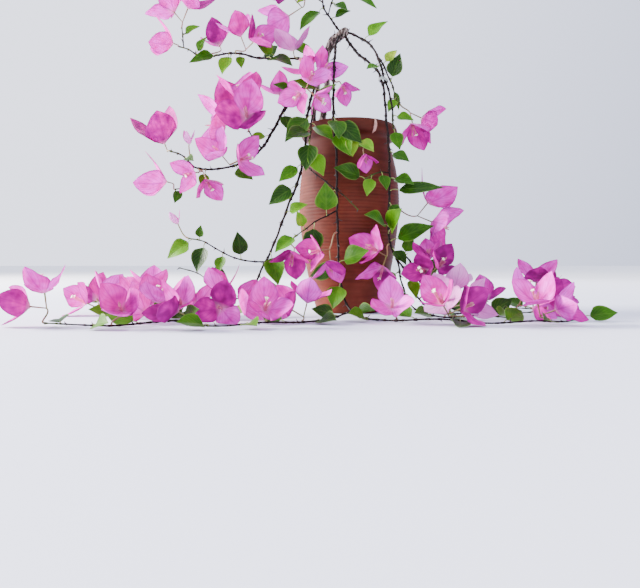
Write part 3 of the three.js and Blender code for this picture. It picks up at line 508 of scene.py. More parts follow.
def thin_solid(skin, middle, s, t, thick, stuff, tone):
    """Closes a grid into a thin solid: half its thickness to either side along its own normal,
    and a rim round the edge. Columns run to the left of the rows' direction. s along and t across
    are its UV map."""
    rows, cols, _ = middle.shape
    uv = np.stack(np.broadcast_arrays(0.5 + 0.5 * t, s), -1).reshape(-1, 2)
    normal = unit(np.cross(np.gradient(middle, axis=0), np.gradient(middle, axis=1)))
    offset = normal * (np.asarray(thick)[..., None] / 2)
    half = rows * cols
    face = grid_faces(rows, cols)
    rim = []
    edges = ((0, cols, rows), (half - cols, 1, cols), (cols - 1, cols, rows), (0, 1, cols))
    for (first, step, count), turned in zip(edges, (False, False, True, True)):
        one = first + step * np.arange(count - 1)
        ring = np.stack([one, one + half, one + step + half, one + step], -1)
        rim.append(ring[:, ::-1] if turned else ring)
    faces = [face, face[:, ::-1] + half, np.concatenate(rim)]
    points = np.concatenate([(middle + offset).reshape(-1, 3), (middle - offset).reshape(-1, 3)])
    skin.add(points, faces, stuff, np.concatenate([uv, uv]), tone)


def outline(form, s):
    """Share of the full half width: s^near (1 - s)^far, scaled to 1 where it is widest."""
    widest = form["near"] / (form["near"] + form["far"])
    return (s / widest) ** form["near"] * ((1 - s) / (1 - widest)) ** form["far"]


def blade_grid(form, first, power):
    """The places s along a blade, from first to 1, closer together near its tip, and t across."""
    rows, cols = form["grid"]
    s = first + (1 - first) * np.linspace(0, 1, rows)[:, None] ** power
    return s, np.linspace(-1, 1, cols)[None]


def bent_blade(start, direction, face, far, rise, across):
    """The points start + far x direction + rise x face + across x (face x direction)."""
    parts = zip((direction, face, np.cross(face, direction)), (far, rise, across))
    return start + sum(axis * share[..., None] for axis, share in parts)


# -------------------- runs
class Run:
    """One stem: its smooth route, its radius at a place, and what grows on it."""

    def __init__(self, radii, route, leaves, heads):
        self.radii, self.last, self.curve = radii, len(route) - 1, smooth_curve(route)
        self.leaves, self.heads = leaves, heads

    def radius(self, s):
        return np.interp(np.asarray(s) / self.last, np.linspace(0, 1, len(self.radii)), self.radii)

    def at(self, s):
        points = np.array(self.curve(s))
        points[..., 2] = np.maximum(points[..., 2], self.radius(s) + SURFACE["under"])
        return points

    def towards(self, s):
        step = 1e-4 * self.last
        return unit(self.curve(np.minimum(s + step, self.last)) - self.curve(np.maximum(s - step, 0)))

    def even_places(self, step):
        """Places spread evenly along the run, about a step apart, and how far along they are."""
        fine = np.linspace(0, self.last, 60 * self.last + 1)
        far = far_along(self.at(fine))
        even = np.linspace(0, far[-1], max(4, int(far[-1] / step) + 1))
        return np.interp(even, far, fine), even


# -------------------- which setting a blade was given
worst_miss = []


def node_corners(name):
    """The corners of a CAD node in millimetres."""
    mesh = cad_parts[name].data
    corners = np.zeros(3 * len(mesh.vertices), np.float32)
    mesh.vertices.foreach_get("co", corners)
    return np.unique(corners.reshape(-1, 3).round(6), axis=0) / MM


def best_setting(settings, tips_of, corners):
    """The setting whose tips fall nearest to corners of the solid."""
    tips = np.array([tips_of(setting) for setting in settings])
    tips[..., 2] = np.maximum(tips[..., 2], SURFACE["edge"])
    gaps = np.linalg.norm(tips[:, :, None] - corners[None, None], axis=-1).min(-1).sum(-1)
    best = int(gaps.argmin())
    worst_miss.append(float(gaps[best]))
    return settings[best]


# -------------------- leaves
FACE = np.array([0.0, -0.8, 0.6])  # leaves turn their faces to the front and the light
LEAF_UPPER, LEAF_UNDER, PETIOLE = 0, 1, 2


def both_ways(*turns):
    """No turn at all, then each turn and its opposite."""
    return [(0, 0), *((way * a, way * b) for a, b in turns for way in (1, -1))]


# The turns from its row's angle and depth that a leaf can have in its solid.
LEAF_TURNS = both_ways(
    (0, 18), (18, 0), (0, 36), (18, 18), (18, -18), (36, 0), (0, 54), (40, 40), (60, 0), (90, 0)
) + [(120, 20), (-120, 20)]


def leaf_surface(start, direction, face, length, wide, bend, fold, wave, seeds):
    """Middle surface of an ovate blade: along = length x s, across = half width x outline(s) x t.
    It bends back by bend x length x s^2, its halves rise by fold x width x |t|^1.3, the midrib is
    a groove and the blade swells between its side veins."""
    s, t = blade_grid(LEAF, 0.008, 0.92)
    width = np.maximum(0.5 * length * wide * outline(LEAF, np.minimum(s, 0.9995)), 0.28)
    rise = fold * width * abs(t) ** 1.3 + 0.09 * width * wave * np.sin(5 * s + 6 * seeds[1]) * t
    rise = rise + 0.07 * width * np.sin(9 * s + 5 * seeds[2] + 2 * t) * t**2
    rise = rise - 0.22 * np.exp(-((t / 0.12) ** 2)) * (1 - s)
    curl = -bend * length * s**2 + 0.02 * length * seeds[3] * np.sin(np.pi * s) ** 2
    sway = 0.03 * length * seeds[4] * np.sin(np.pi * s)
    return bent_blade(start, direction, face, length * s, curl + rise, width * t + sway), s, t


def add_leaf(skin, run, corners, place, angle, depth, length, roll=0, wide=LEAF["wide"]):
    """A leaf where the solid has it, on a petiole that grows out of the stem. A short leaf is
    young, so it is paler: its tone is nearer 1."""
    bend, fold, wave, twist = grown(4)
    seeds = detail(6)
    bend = 0.12 + 0.06 * bend
    root = run.at(place)
    bare = LEAF["petiole"] * length + run.radius(place)

    def pose(setting):
        direction = aim(angle + setting[0], depth + setting[1])
        return direction, turn(square_to(direction, FACE), direction, np.radians(roll + 14 * twist))

    def tips_of(setting):
        direction, face = pose(setting)
        return [root + direction * (bare + length) - face * bend * length]

    direction, face = pose(best_setting(LEAF_TURNS, tips_of, corners))
    foot, fold = root + direction * bare, 0.3 + 0.1 * fold
    middle, s, t = leaf_surface(foot, direction, face, length, wide, bend, fold, wave, seeds)
    thick = LEAF["thick"] * (0.5 + 0.5 * (1 - t**2) + 0.8 * np.exp(-((t / 0.12) ** 2)) * (1 - s))
    young = np.clip(0.95 - length / 42 + 0.42 * seeds[5], 0, 1)
    sides = [LEAF_UPPER, LEAF_UNDER, LEAF_UNDER]
    thin_solid(skin, lift(middle, SURFACE["edge"]), s, t, thick, sides, young)
    t = np.linspace(0, 1, 6)[:, None]
    path = root + direction * bare * 1.04 * t + np.sin(np.pi * t) * face * 0.05 * length
    tube(skin, lift(path, 1.0, 0.3), 0.62 - 0.16 * t[:, 0], 6, PETIOLE, young)


# -------------------- wood
WOOD_STEP = 2.0  # length between a stem's rings
NODE_STEP = 11  # length between the nodes of a stem, each with a thorn
STEM_SIDES = 10
GREEN_END = 28  # length of a thin stem's green tip
WOOD, THORN = 0, 1


def swelling(far, marks, height, wide, most):
    """How much a stem thickens round its marks: a sum of height x exp(-((far - mark) / wide)^2),
    up to a limit."""
    bumps = np.exp(-(((far[:, None] - marks[None]) / wide) ** 2))
    return np.minimum(height * bumps.sum(1), most)


def stem_wood(skin, run):
    """A stem: a round tube, thicker at each node where a leaf, thorn or fork sits, uneven all over,
    and greener towards its tip where it is thin. A tone of 1 is green."""
    places, far = run.even_places(WOOD_STEP)
    nodes, _ = run.even_places(NODE_STEP)
    nodes = np.clip(nodes[1:] + 0.12 * detail(len(nodes) - 1), 0, run.last)
    rooted = [row[0] for row in (*run.leaves, *run.heads)]
    marks = np.interp([*rooted, *nodes], places, far)
    seeds = detail(9)

    def rough(a, far):
        return 1 + 0.1 * ripple(a, 0.35 * far, seeds) + 0.04 * np.sin(3 * a + far)

    sway = np.sin(far / 4.1 + 9 * seeds[0]), np.sin(far / 5.3 + 9 * seeds[1])
    path = run.at(places) + 0.3 * np.stack([*sway, 0 * far], -1)
    thin = np.clip((1.5 - run.radius(places)) / 0.4, 0, 1)
    green = np.clip((far - far[-1] + GREEN_END) / GREEN_END, 0, 1) * thin
    radius = run.radius(places) * (0.7 + swelling(far, marks, 0.36, 1.4, 0.45))
    tube(skin, path, radius, STEM_SIDES, WOOD, np.repeat(green, STEM_SIDES), rough)
    for i, place in enumerate(nodes):
        add_thorn(skin, run, place, 2.4 * i + seeds[2])


def add_thorn(skin, run, place, angle):
    """A thorn that leaves the stem square to it and leans towards its tip. One in four is only the
    stub of a side shoot, blunt and thicker."""
    tangent, radius = run.towards(place), run.radius(place)
    out = turn(square_to(tangent, np.array([0.3, -0.8, 0.5])), tangent, angle)
    a, b = detail(2)
    stub = a > 0.5
    length = (2.4 if stub else 5.4 + 2.2 * b) * (0.6 + 0.25 * radius)
    direction = unit(out + (0.2 if stub else 0.55) * tangent)
    start = run.at(place) + out * radius * 0.5
    if start[2] + length * direction[2] > 1.5:
        size = 1.05 if stub else 0.8
        spindle(skin, start, direction, length, size, -0.8 * tangent * (not stub), 6, THORN)


# -------------------- flowers
# By the number of blooms in a head: how far each leans out from the middle, in degrees, and its own
# stalk as a share of the bracts' length.
SPREAD = [0, 0, 38, 46, 54]
PEDICEL = [0, 0.15, 0.45, 0.52, 0.62]
# The settings that a bloom can have in its solid: its size, how far it leans out and swings
# sideways, and its spin.
TILTS = both_ways((20, 0), (0, 20), (35, 0), (0, 35)) + [(50, 30)]
BLOOM_TURNS = [(size, *tilt, spin) for size in (1, 0.85, 0.7) for tilt in TILTS for spin in (0, 40, 80)]
PAPER, FLOWER_TUBE, FLOWER_LIMB, STALK = 0, 1, 2, 3
OPEN_SHARE = 0.2  # of the tube flowers, the rest are still closed


def bract_surface(start, direction, face, length, wide, bend, fold, wave, opening, seeds):
    """Middle surface of a papery bract: an ovate outline that never passes its 120 degree share,
    bent by bend x length x s^2, its edges turned by fold x width x t^2, swaying from edge to edge
    and crumpled by a ripple that grows towards the edges."""
    s, t = blade_grid(BRACT, 0.03, 0.9)
    half = 0.5 * length * wide
    far_out = s * np.sin(opening) + bend * s**2 * np.cos(opening)
    share = 1.6 * length * far_out + 0.9
    width = np.maximum(np.minimum(half * outline(BRACT, np.minimum(s, 0.999)), share), 0.35)
    ends = np.sin(np.pi * s) ** 0.6
    sway = wave * half * np.cos(np.pi * (s - 0.38) / 0.36) * ends * t
    crumple = ripple(2.1 * s + seeds[7], 1.5 * t + seeds[8], seeds) * (0.35 + t**2) * ends
    rise = fold * width * t**2 + sway + 0.045 * length * crumple - bend * length * s**2
    drift = 0.05 * length * seeds[6] * s**2
    return bent_blade(start, direction, face, length * s, rise, width * t + drift), s, t


def tube_flower(skin, start, direction, length, is_open, seeds):
    """A slim tube, swollen at its foot and pinched below its mouth. An open one ends in a limb
    with five lobes, whose edge is R x (1 + 0.34 cos 5a); a closed one ends in a blunt point."""
    t = np.linspace(0, 1, 7)[:, None]
    bow = 0.09 * length * seeds[0] * np.cross(direction, UP) * np.sin(np.pi * t)
    path = start + direction * length * t + bow
    radius = [0.7, 1.1, 1.05, 0.75, 0.8, 1.15, 1.0 if is_open else 0.3]
    tube(skin, path, radius, 6, FLOWER_TUBE, np.repeat(t, 6))
    if is_open:
        limb = path[-1] + direction * np.array([-0.6, 0.32, 0.79, 0.56])[:, None]
        edge = np.array([0, 1, 1, 0])[:, None]
        lobes = lambda a, far: 1 + 0.34 * np.cos(5 * a) * edge
        tube(skin, limb, [0.7, 1.8, 1.6, 0.4], 10, FLOWER_LIMB, 0.5, lobes)


def peduncle_path(run, place, hub, look):
    """From inside the stem, out square to it (or on from its tip), and in along the look, as a
    cubic Bezier curve."""
    base, tangent = run.at(place), run.towards(place)
    at_tip = place == run.last
    away = tangent if at_tip else square_to(tangent, unit(hub - base))
    start = base + away * ((0 if at_tip else run.radius(place)) + GAP + 0.1)
    bow = 0.35 * np.linalg.norm(start - hub)
    t = np.linspace(0, 1, 12)[:, None]
    first, last = start + away * bow, hub - look * bow
    path = (1 - t) ** 3 * start + 3 * (1 - t) ** 2 * t * first + 3 * (1 - t) * t**2 * last + t**3 * hub
    return lift(np.vstack([base[None], path]), STALK_RADIUS + SURFACE["under"], 0.3)


def add_bloom(skin, hub, direction, out, pedicel, length, corners):
    """Three bracts round three tube flowers, or round one in a closed bud, in the setting that the
    solid has.
    """
    closed = length < BUD["longest"]
    opening = np.radians(BUD["opening"] if closed else BRACT["opening"] + 8 * grown())
    wide = BUD["wide"] if closed else BRACT["wide"]
    spin = 60 * grown()
    shapes = [grown(3) for _ in range(3)]
    lever = unit(np.cross(out, direction))

    def bract_poses(setting):
        _, lean, swing, more = setting
        axis = turn(turn(direction, lever, np.radians(lean)), out, np.radians(swing))
        side = turn(square_to(axis, out), axis, np.radians(spin + more))
        radials = [turn(side, axis, np.radians(120 * i)) for i in range(3)]
        c, s = np.cos(opening), np.sin(opening)
        poses = [(r * s + axis * c, axis * s - r * c) for r in radials]
        return axis, hub + axis * pedicel, radials, poses

    def tips_of(setting):
        _, base, _, poses = bract_poses(setting)
        far = setting[0] * length
        bends = [BRACT["bend"] + 0.12 * shape[0] for shape in shapes]
        return [base + d * far - f * b * far for (d, f), b in zip(poses, bends)]

    setting = best_setting(BLOOM_TURNS, tips_of, corners)
    axis, base, radials, poses = bract_poses(setting)
    length = length * setting[0]
    age = detail()
    path = lift(hub + axis * pedicel * np.linspace(0, 1.02, 5)[:, None], 0.9, 0.3)
    tube(skin, path, np.linspace(0.62, 0.85, 5), 6, STALK)
    for i, ((bract, face), (bend, fold, wave)) in enumerate(zip(poses, shapes)):
        seeds = detail(9)
        form = BRACT["bend"] + 0.12 * bend, 0.16 + 0.16 * fold, 0.15 * wave, opening, seeds
        middle, s, t = bract_surface(base + face * 0.25, bract, face, length, wide, *form)
        thick = BRACT["thick"] * (0.55 + 0.45 * (1 - t**2)) + 0 * s
        tone = 0.5 + 0.3 * age + 0.3 * seeds[5]
        thin_solid(skin, lift(middle, SURFACE["edge"]), s, t, thick, PAPER, tone)
        if closed and i:
            continue
        foot = base + radials[i] * 0.5 + axis * 0.4
        slim = unit(axis + radials[i] * (0.1 + 0.12 * seeds[2]))
        is_open = not closed and seeds[4] > 1 - 2 * OPEN_SHARE
        tube_flower(skin, foot, slim, length * (0.5 + 0.08 * seeds[3]), is_open, seeds)


def add_head(name, run, place, x, y, z, angle, depth, blooms, length, pale=0):
    """A head of one to four blooms at the end of one peduncle, as one piece."""
    corners = node_corners(name)
    look = aim(angle, depth)
    spread = np.radians(SPREAD[blooms])
    pedicel = PEDICEL[blooms] * length
    hub = np.array([x, y, z]) - look * (pedicel + 0.45 * length) * np.cos(spread)
    across = square_to(look, np.array([np.sin(np.radians(angle)), 0, -np.cos(np.radians(angle))]))
    phase = 0.5 * grown()
    skin = Skin()
    path = peduncle_path(run, place, hub, look)
    tube(skin, path, np.linspace(0.95, 0.72, len(path)), 7, STALK)
    for i in range(blooms):
        out = turn(across, look, phase + 2 * np.pi * i / blooms)
        direction = look * np.cos(spread) + out * np.sin(spread)
        add_bloom(skin, hub, direction, out, pedicel, length, corners)
    paper, slot = ("pale_bract", "pale") if pale else ("bract", "bract")
    stuff = [paper, "flower_tube", "flower_limb", "flower_stalk"]
    skin.piece(f"{name}_papery", stuff, name, slot, 50)


# -------------------- pot, soil, tie and trunk
def lathe(skin, profile, sides, wobble=None):
    """A solid turned about Z: r(z) from the profile's points, whose two ends lie on the axis.
    wobble(a, ring) is added to r, and half of it to the tone."""
    profile = np.asarray(profile, float)
    a = 2 * np.pi * np.arange(sides) / sides
    ring = profile[1:-1]
    added = np.zeros((len(ring), sides)) if wobble is None else wobble(a[None], ring)
    r = ring[:, :1] + added
    points = np.stack([r * np.cos(a), r * np.sin(a), ring[:, 1:] + 0 * r], -1)
    poles = np.array([[0, 0, profile[0, 1]], [0, 0, profile[-1, 1]]])
    j = np.arange(sides)
    k = (j + 1) % sides
    pole, last = len(ring) * sides + 0 * j, (len(ring) - 1) * sides
    low, high = np.stack([pole, k, j], -1), np.stack([pole + 1, last + j, last + k], -1)
    flat = np.concatenate([points.reshape(-1, 3), poles])
    tone = 0.5 + np.concatenate([added.ravel(), [0, 0]]) / 2
    skin.add(flat, [grid_faces(len(ring), sides, True)[:, ::-1], low, high], tone=tone)


def fine_profile(points, step):
    """The points joined by a smooth curve, about a step apart."""
    fine = smooth_curve(points)(np.linspace(0, len(points) - 1, 60 * len(points)))
    far = far_along(fine)
    even = np.linspace(0, far[-1], int(far[-1] / step))
    return np.column_stack([np.interp(even, far, column) for column in fine.T])


def ribs(a, ring):
    """Turning ribs, in mm: rounded crests that rise slowly round the belly and fade at both ends,
    and faint throwing lines everywhere else on the outside."""
    z = ring[:, 1:]
    outside = (ring[:, :1] > 42) & (np.arange(len(ring))[:, None] <= ring[:, 1].argmax())
    share = np.clip((z - RIBS["low"]) / 14, 0, 1) * np.clip((RIBS["high"] - z) / 18, 0, 1)
    climb = z / RIBS["apart"] + a / (2 * np.pi) + 0.12 * np.sin(2 * a + z / 17)
    crest = np.cos(2 * np.pi * climb) + 0.35 * np.sin(4 * np.pi * climb + a)
    uneven = 0.7 + 0.3 * np.sin(3 * a + z / 9)
    faint = 0.12 * np.sin(z / 1.9) * np.sin(z / 7.3 + a)
    return outside * (RIBS["proud"] * share * 0.5 * crest * uneven + faint * (1 - share))


def make_pot():
    """The pot, turned with its ribs, with three drain holes through the floor."""
    foot = [[0, 0], [12, 0], [26, 0], [34, 0.0], [37.6, 0.15], [39.2, 0.9]]
    outside = fine_profile(POT_OUTSIDE[1:], 1.1)
    inside = fine_profile([POT_OUTSIDE[-1], *POT_INSIDE], 2.4)[1:]
    bed = [[28, POT_FLOOR], [12, POT_FLOOR], [0, POT_FLOOR]]
    skin = Skin()
    lathe(skin, [*foot, *outside, *inside, *bed], POT_SIDES, ribs)
    made = skin.piece("pot_stoneware", ["clay"], "pot", "clay", 50)
    cutter = Skin()
    for i in range(DRAIN["count"]):
        a = 2 * np.pi * (i + 0.25) / DRAIN["count"]
        x, y = DRAIN["ring"] * np.cos(a), DRAIN["ring"] * np.sin(a)
        tube(cutter, [[x, y, z] for z in (-4, 0, 8, POT_FLOOR + 4)], DRAIN["radius"], 28)
    tool = shown("cutter", cutter.mesh("cutter"))
    modifier = made.modifiers.new("holes", "BOOLEAN")
    modifier.object, modifier.operation, modifier.solver = tool, "DIFFERENCE", "EXACT"
    evaluated = made.evaluated_get(bpy.context.evaluated_depsgraph_get())
    mesh = bpy.data.meshes.new_from_object(evaluated)
    made.modifiers.clear()
    made.data = mesh
    bpy.data.objects.remove(tool)


def mound(far):
    """The height of the soil at a distance from the pot's axis."""
    return SOIL_TOP - 0.4 + SOIL_MOUND * (1 - (far / SOIL_RADIUS) ** 2)


def make_soil():
    """The soil: it fills the pot, and its top is a low mound, uneven by ripple x 0.9 mm, with loose
    grains of grit on it, but for a ring round the trunk."""
    wall = [[r - 0.35, z] for r, z in reversed(POT_INSIDE) if z < SOIL_TOP - 1]
    wall = fine_profile([*wall, [43.7, SOIL_TOP - 2.5]], 6)
    r = np.linspace(43.6, 1.5, 46)
    bottom = [[0, POT_FLOOR + GAP], [20, POT_FLOOR + GAP]]
    skin = Skin()
    lathe(skin, [*bottom, *wall, *np.column_stack([r, mound(r)]), [0, mound(0)]], 96)
    points, seeds = skin.points[0], detail(15)
    top = points[:, 2] > SOIL_TOP - 1.5
    points[top, 2] += 0.9 * ripple(points[top, 0] / 2.6, points[top, 1] / 2.6, seeds, 5) - 0.3
    for _ in range(GRAINS["count"]):
        a, b, c, d = detail(4)
        far, around = GRAINS["reach"] * np.sqrt(abs(a)), np.pi * b
        x, y = far * np.cos(around), far * np.sin(around)
        if np.hypot(x - TRUNK_FOOT[0], y - TRUNK_FOOT[1]) < GRAINS["round_trunk"]:
            continue
        size = 0.8 + 0.5 * abs(c)
        path = np.linspace(-1, 1, 4)[:, None] * size * unit([np.cos(9 * d), np.sin(9 * d), 0.3 * c])
        path = path + [x, y, mound(far) + 0.2]
        tube(skin, path, size * np.array([0.45, 0.95, 0.9, 0.4]), 6, 1, 0.5 + 0.5 * c)
    skin.piece("soil_crumbs", ["soil", "grit"], "soil", "soil")


def make_tie(one, place, other, other_place):
    """A flat soft band round two stems: a stadium loop carrying an oval section, slightly
    puckered, with a knot and two short ends."""
    a, b = one.at(place), other.at(other_place)
    lengthwise = unit(one.towards(place) + other.towards(other_place))
    across = square_to(lengthwise, b - a)
    up = np.cross(lengthwise, across)
    inner = max(one.radius(place), other.radius(other_place)) + 2 * GAP
    count, sides = 64, 12
    half_thick, half_wide = 0.42, 1.95
    angle = 2 * np.pi * np.arange(count)[:, None] / count
    ring = 2 * np.pi * np.arange(sides)[None] / sides
    shift = (b - a).dot(across) / 2 * np.clip(np.cos(angle) * 3, -1, 1)
    out = np.cos(angle) * across + np.sin(angle) * up
    reach = inner + 0.45 + half_thick * np.cos(ring) + 0.05 * np.sin(5 * angle)
    along = half_wide * np.sign(np.sin(ring)) * abs(np.sin(ring)) ** 0.6
    along = along * (1 + 0.12 * np.sin(9 * angle))
    points = ((a + b) / 2 + shift * across)[:, None] + reach[..., None] * out[:, None]
    points = points + along[..., None] * lengthwise
    faces = grid_faces(count + 1, sides, True) % (count * sides)
    skin = Skin()
    skin.add(points, [faces[:, ::-1]])
    knot = (a + b) / 2 - up * (inner + 0.7)
    for side in (-1, 1):
        t = np.linspace(0, 1, 8)[:, None]
        end = knot + side * across * 3.4 * t + lengthwise * 1.1 * np.sin(2.2 * t) * side - up * 0.5 * t
        tube(skin, end, 0.62 * (1 - 0.35 * t[:, 0]), 8)
    t = np.linspace(-1, 1, 9)[:, None]
    tube(skin, knot + lengthwise * 1.3 * t, 0.25 + 0.95 * np.sqrt(np.maximum(1 - t[:, 0] ** 2, 0)), 10)
    skin.piece("tie_band", ["tie"], "tie", "tie")


def make_trunk(runs):
    """Two old stems twisted together: tubes with lengthwise ridges 1 + 0.13 sin(3a + far / 16),
    knots where branches were cut, stubs round the crown and roots at the foot."""
    skin = Skin()
    for run, sides in zip(runs, (26, 18)):
        places, far = run.even_places(1.4)
        seeds = detail(15)
        knots = far[-1] * (0.5 + 0.5 * detail(9))

        def rough(a, far, seeds=seeds):
            ridges = 0.13 * np.sin(3 * a + far / 16 + 6 * seeds[0]) + 0.06 * np.sin(7 * a - far / 9)
            return 1 + ridges + 0.12 * ripple(1.5 * a, far / 4, seeds, 4)

        radius = run.radius(places) * (0.95 + swelling(far, knots, 0.3, 3.0, 0.4))
        tube(skin, run.at(places), radius, sides, WOOD, 0.5, rough)
        for place in run.even_places(17)[0][3:]:
            add_thorn(skin, run, place, 2.4 * place)
    crown = runs[0].at(7.0)
    for i in range(9):
        a, b, c = detail(3)
        out = unit([np.cos(2.4 * i), np.sin(2.4 * i), 0.7 * a])
        spindle(skin, crown + out * 2.4, unit(out + 0.5 * b * UP), 5.0 + 1.5 * c, 2.2, 0, 8, WOOD)
    foot = np.array([*TRUNK_FOOT, SOIL_TOP + 3.2])
    for angle in (200, 265, 330, 25, 80):
        out = aim(angle, 0)[[0, 2, 1]]
        t = np.linspace(0, 1, 9)[:, None]
        side = np.cross(out, UP) * 1.8 * np.sin(3 * t + angle)
        reach = 12 if out[0] > -0.3 else 5
        tube(skin, foot + out * (2 + reach * t) + side * t - UP * 4.2 * t**1.4, 2.6 - 1.7 * t[:, 0], 10)
    skin.piece("trunk_bark", ["bark", "bark"], "trunk", "bark")


def make_dry_bract():
    """A withered bract that hangs over the lip, a strip that follows the lip's own profile 0.9 mm
    outside it, and its edges curl away by up to 1.1 t^2 more."""
    around, half_wide = np.radians(-62), 2.1
    lip = fine_profile(POT_OUTSIDE[-5:], 1.6)[::-1]
    lip = lip[lip[:, 1] > 209.5]
    s = np.linspace(0, 1, len(lip))[:, None]
    t = np.linspace(-1, 1, 5)[None]
    out = np.array([np.cos(around), np.sin(around), 0])
    width = half_wide * np.sin(np.pi * (0.04 + 0.93 * s)) ** 0.7
    height = lip[:, 1:] + 1.6 * np.clip(0.25 - s, 0, 1) + 0 * t
    reach = lip[:, :1] + 0.9 + 1.1 * t**2 * width / half_wide + 1.4 * np.clip(s - 0.6, 0, 1)
    sideways = width * t + 1.5 * np.sin(2.4 * s)
    middle = reach[..., None] * out + height[..., None] * UP + sideways[..., None] * np.cross(out, UP)
    skin = Skin()
    thin_solid(skin, middle, s, t, 0.4 + 0 * height, 0, 1.0)
    skin.piece("dry_bract_on_lip", ["dry_bract"], None, "pale")


def make_stem(name, runs):
    """A stem's wood with its thorns, and its leaves."""
    wood, leaves = Skin(), Skin()
    corners = node_corners(name)
    for run in runs:
        for row in run.leaves:
            add_leaf(leaves, run, corners, *row)
        stem_wood(wood, run)
    wood.piece(f"{name}_wood", ["stem", "thorn"], name, "leafy")
    leaves.piece(f"{name}_leaves", ["leaf", "leaf_under", "leaf_stalk"], name, "leafy", 50)


# -------------------- the plant's stems
stems = {}


def grow(name, root, radii, route, leaves=(), heads=()):
    """Adds a run to a stem: its radius from root to tip and its route, which begins at its root, a
    (stem, run, place) or only a place on its stem's first run. Places are counted in route points. A
    leaf is (place, angle, depth, length, roll, width share). The angle is seen from the front, 0 to
    the right and 90 up, and depth leans it towards the front. A head of flowers is (place, middle
    x, y, z, angle, depth, blooms, bract length, 1 if pale)."""
    if root:
        stem, run, place = root if isinstance(root, tuple) else (name, 0, root)
        route = [stems[stem][run].at(place), *route]
    stems.setdefault(name, []).append(Run(radii, route, leaves, heads))


grow("trunk", None, (5.2, 5.2, 5.8, 4.2, 3.5, 3.5, 4.1, 5.6, 3.2), [
    (*TRUNK_FOOT, 153), (*TRUNK_FOOT, 212), (-34, 6, 220), (-33, 4, 240), (-27, 2, 274),
    (-28, -2, 308), (-22, -4, 326), (-10, -6, 338), (-2, -5, 342),
])
grow("trunk", 2.1, (2.6, 3.2, 2.8, 2.7, 3.1, 2.9, 2.6, 2.2), [
    (-43, 8, 235), (-43, 8, 254), (-40, 8, 272), (-37, 8, 291), (-29, 5, 313), (-25, 3, 330),
    (-17, -1, 339),
])
grow("shoot_top", ("trunk", 0, 7), (1.8, 0.9), [
    (-20, 3, 356), (-31, 4, 373), (-34, 6, 391), (-40, 4, 412), (-44, 2, 428),
], leaves=[
    (2, 221, 15, 34), (3.3, 150, 20, 26), (4.2, 60, 10, 24), (5, 104, 20, 24), (1.2, 20, 20, 20),
])
grow("shoot_top", 2.4, (1.1, 0.9), [
    (-42, 8, 388), (-51, 11, 391),
], leaves=[
    (1.1, 205, 30, 22),
], heads=[
    (2, -87, 15, 383, 178, 15, 2, 41),
])
grow("shoot_top", 1.5, (1.1, 0.9), [
    (-20, -2, 382), (-13, -6, 389), (-4, -8, 391),
], leaves=[
    (3, -37, 20, 39, 0, 0.42), (0.7, -35, 30, 22),
])
grow("branch_upper_left", ("trunk", 1, 5), (2, 1), [
    (-61, 3, 312), (-93, 4, 313), (-114, 6, 314), (-131, 8, 319), (-148, 10, 321), (-170, 12, 318),
    (-186, 12, 318), (-199, 12, 326), (-211, 10, 329),
], leaves=[
    (0.5, 138, 25, 30), (2.4, -20, 35, 34), (1.9, 140, 20, 27), (2.8, 40, 10, 26, 80),
    (4.3, -80, 20, 16), (5, -107, 25, 26), (5.6, 194, 15, 31), (7.3, 55, 10, 20),
], heads=[
    (9, -233, 8, 338, 165, 20, 1, 35), (6.2, -167, 22, 347, 110, -10, 1, 32),
    (4.6, -122, -12, 341, 75, 35, 2, 33), (1.1, -71, -10, 332, 100, 10, 1, 34, 1),
])
grow("branch_upper_left", 8.5, (1.1, 0.9), [
    (-207, 13, 340), (-208, 13, 353),
], leaves=[
    (1.2, 30, 15, 20),
], heads=[
    (2, -210, 10, 387, 95, 10, 2, 38),
])
grow("branch_left", ("trunk", 1, 4), (2.6, 1.2), [
    (-57, -12, 271), (-75, -22, 249), (-91, -30, 218), (-105, -34, 195), (-125, -36, 179),
    (-156, -36, 171), (-183, -34, 173), (-198, -32, 187), (-214, -30, 193),
], leaves=[
    (2.3, -70, 25, 22), (5.4, -37, 30, 26), (6.5, -100, 20, 18), (1.5, 160, 10, 26),
    (3.3, 190, 20, 20), (7.8, -20, 20, 18),
], heads=[
    (9, -229, -25, 222, 108, 20, 1, 46), (7.6, -189, -40, 206, 85, 20, 1, 17, 1),
    (5.2, -136, -60, 186, 60, 60, 2, 34), (6.8, -176, -52, 154, -100, 45, 2, 28),
    (2.1, -90, -14, 275, 112, 0, 1, 29),
])
grow("branch_left", 7.1, (1.2, 0.9), [
    (-191, -34, 160), (-199, -32, 150), (-208, -30, 148),
], leaves=[
    (2.2, 250, 20, 16),
], heads=[
    (3, -236, -30, 162, 165, 15, 1, 41),
])
grow("branch_left", 4, (1.6, 1.2), [
    (-114, -32, 207), (-120, -31, 216),
], heads=[
    (2, -133, -32, 244, 118, 25, 4, 44),
])
grow("shoot_rim", ("trunk", 0, 4.1), (1.4, 0.9), [
    (-31, -22, 268), (-39, -43, 254), (-44, -60, 230), (-47, -68, 204), (-48, -71, 186),
], leaves=[
    (3.1, 222, 15, 36), (3.8, 205, 30, 32), (4.3, -97, 25, 32), (1.6, 155, 10, 28),
    (5, -60, 20, 28), (2.5, 20, 25, 26), (3.5, -40, 30, 30),
], heads=[
    (2.3, -47, -87, 246, -60, 60, 3, 26),
])
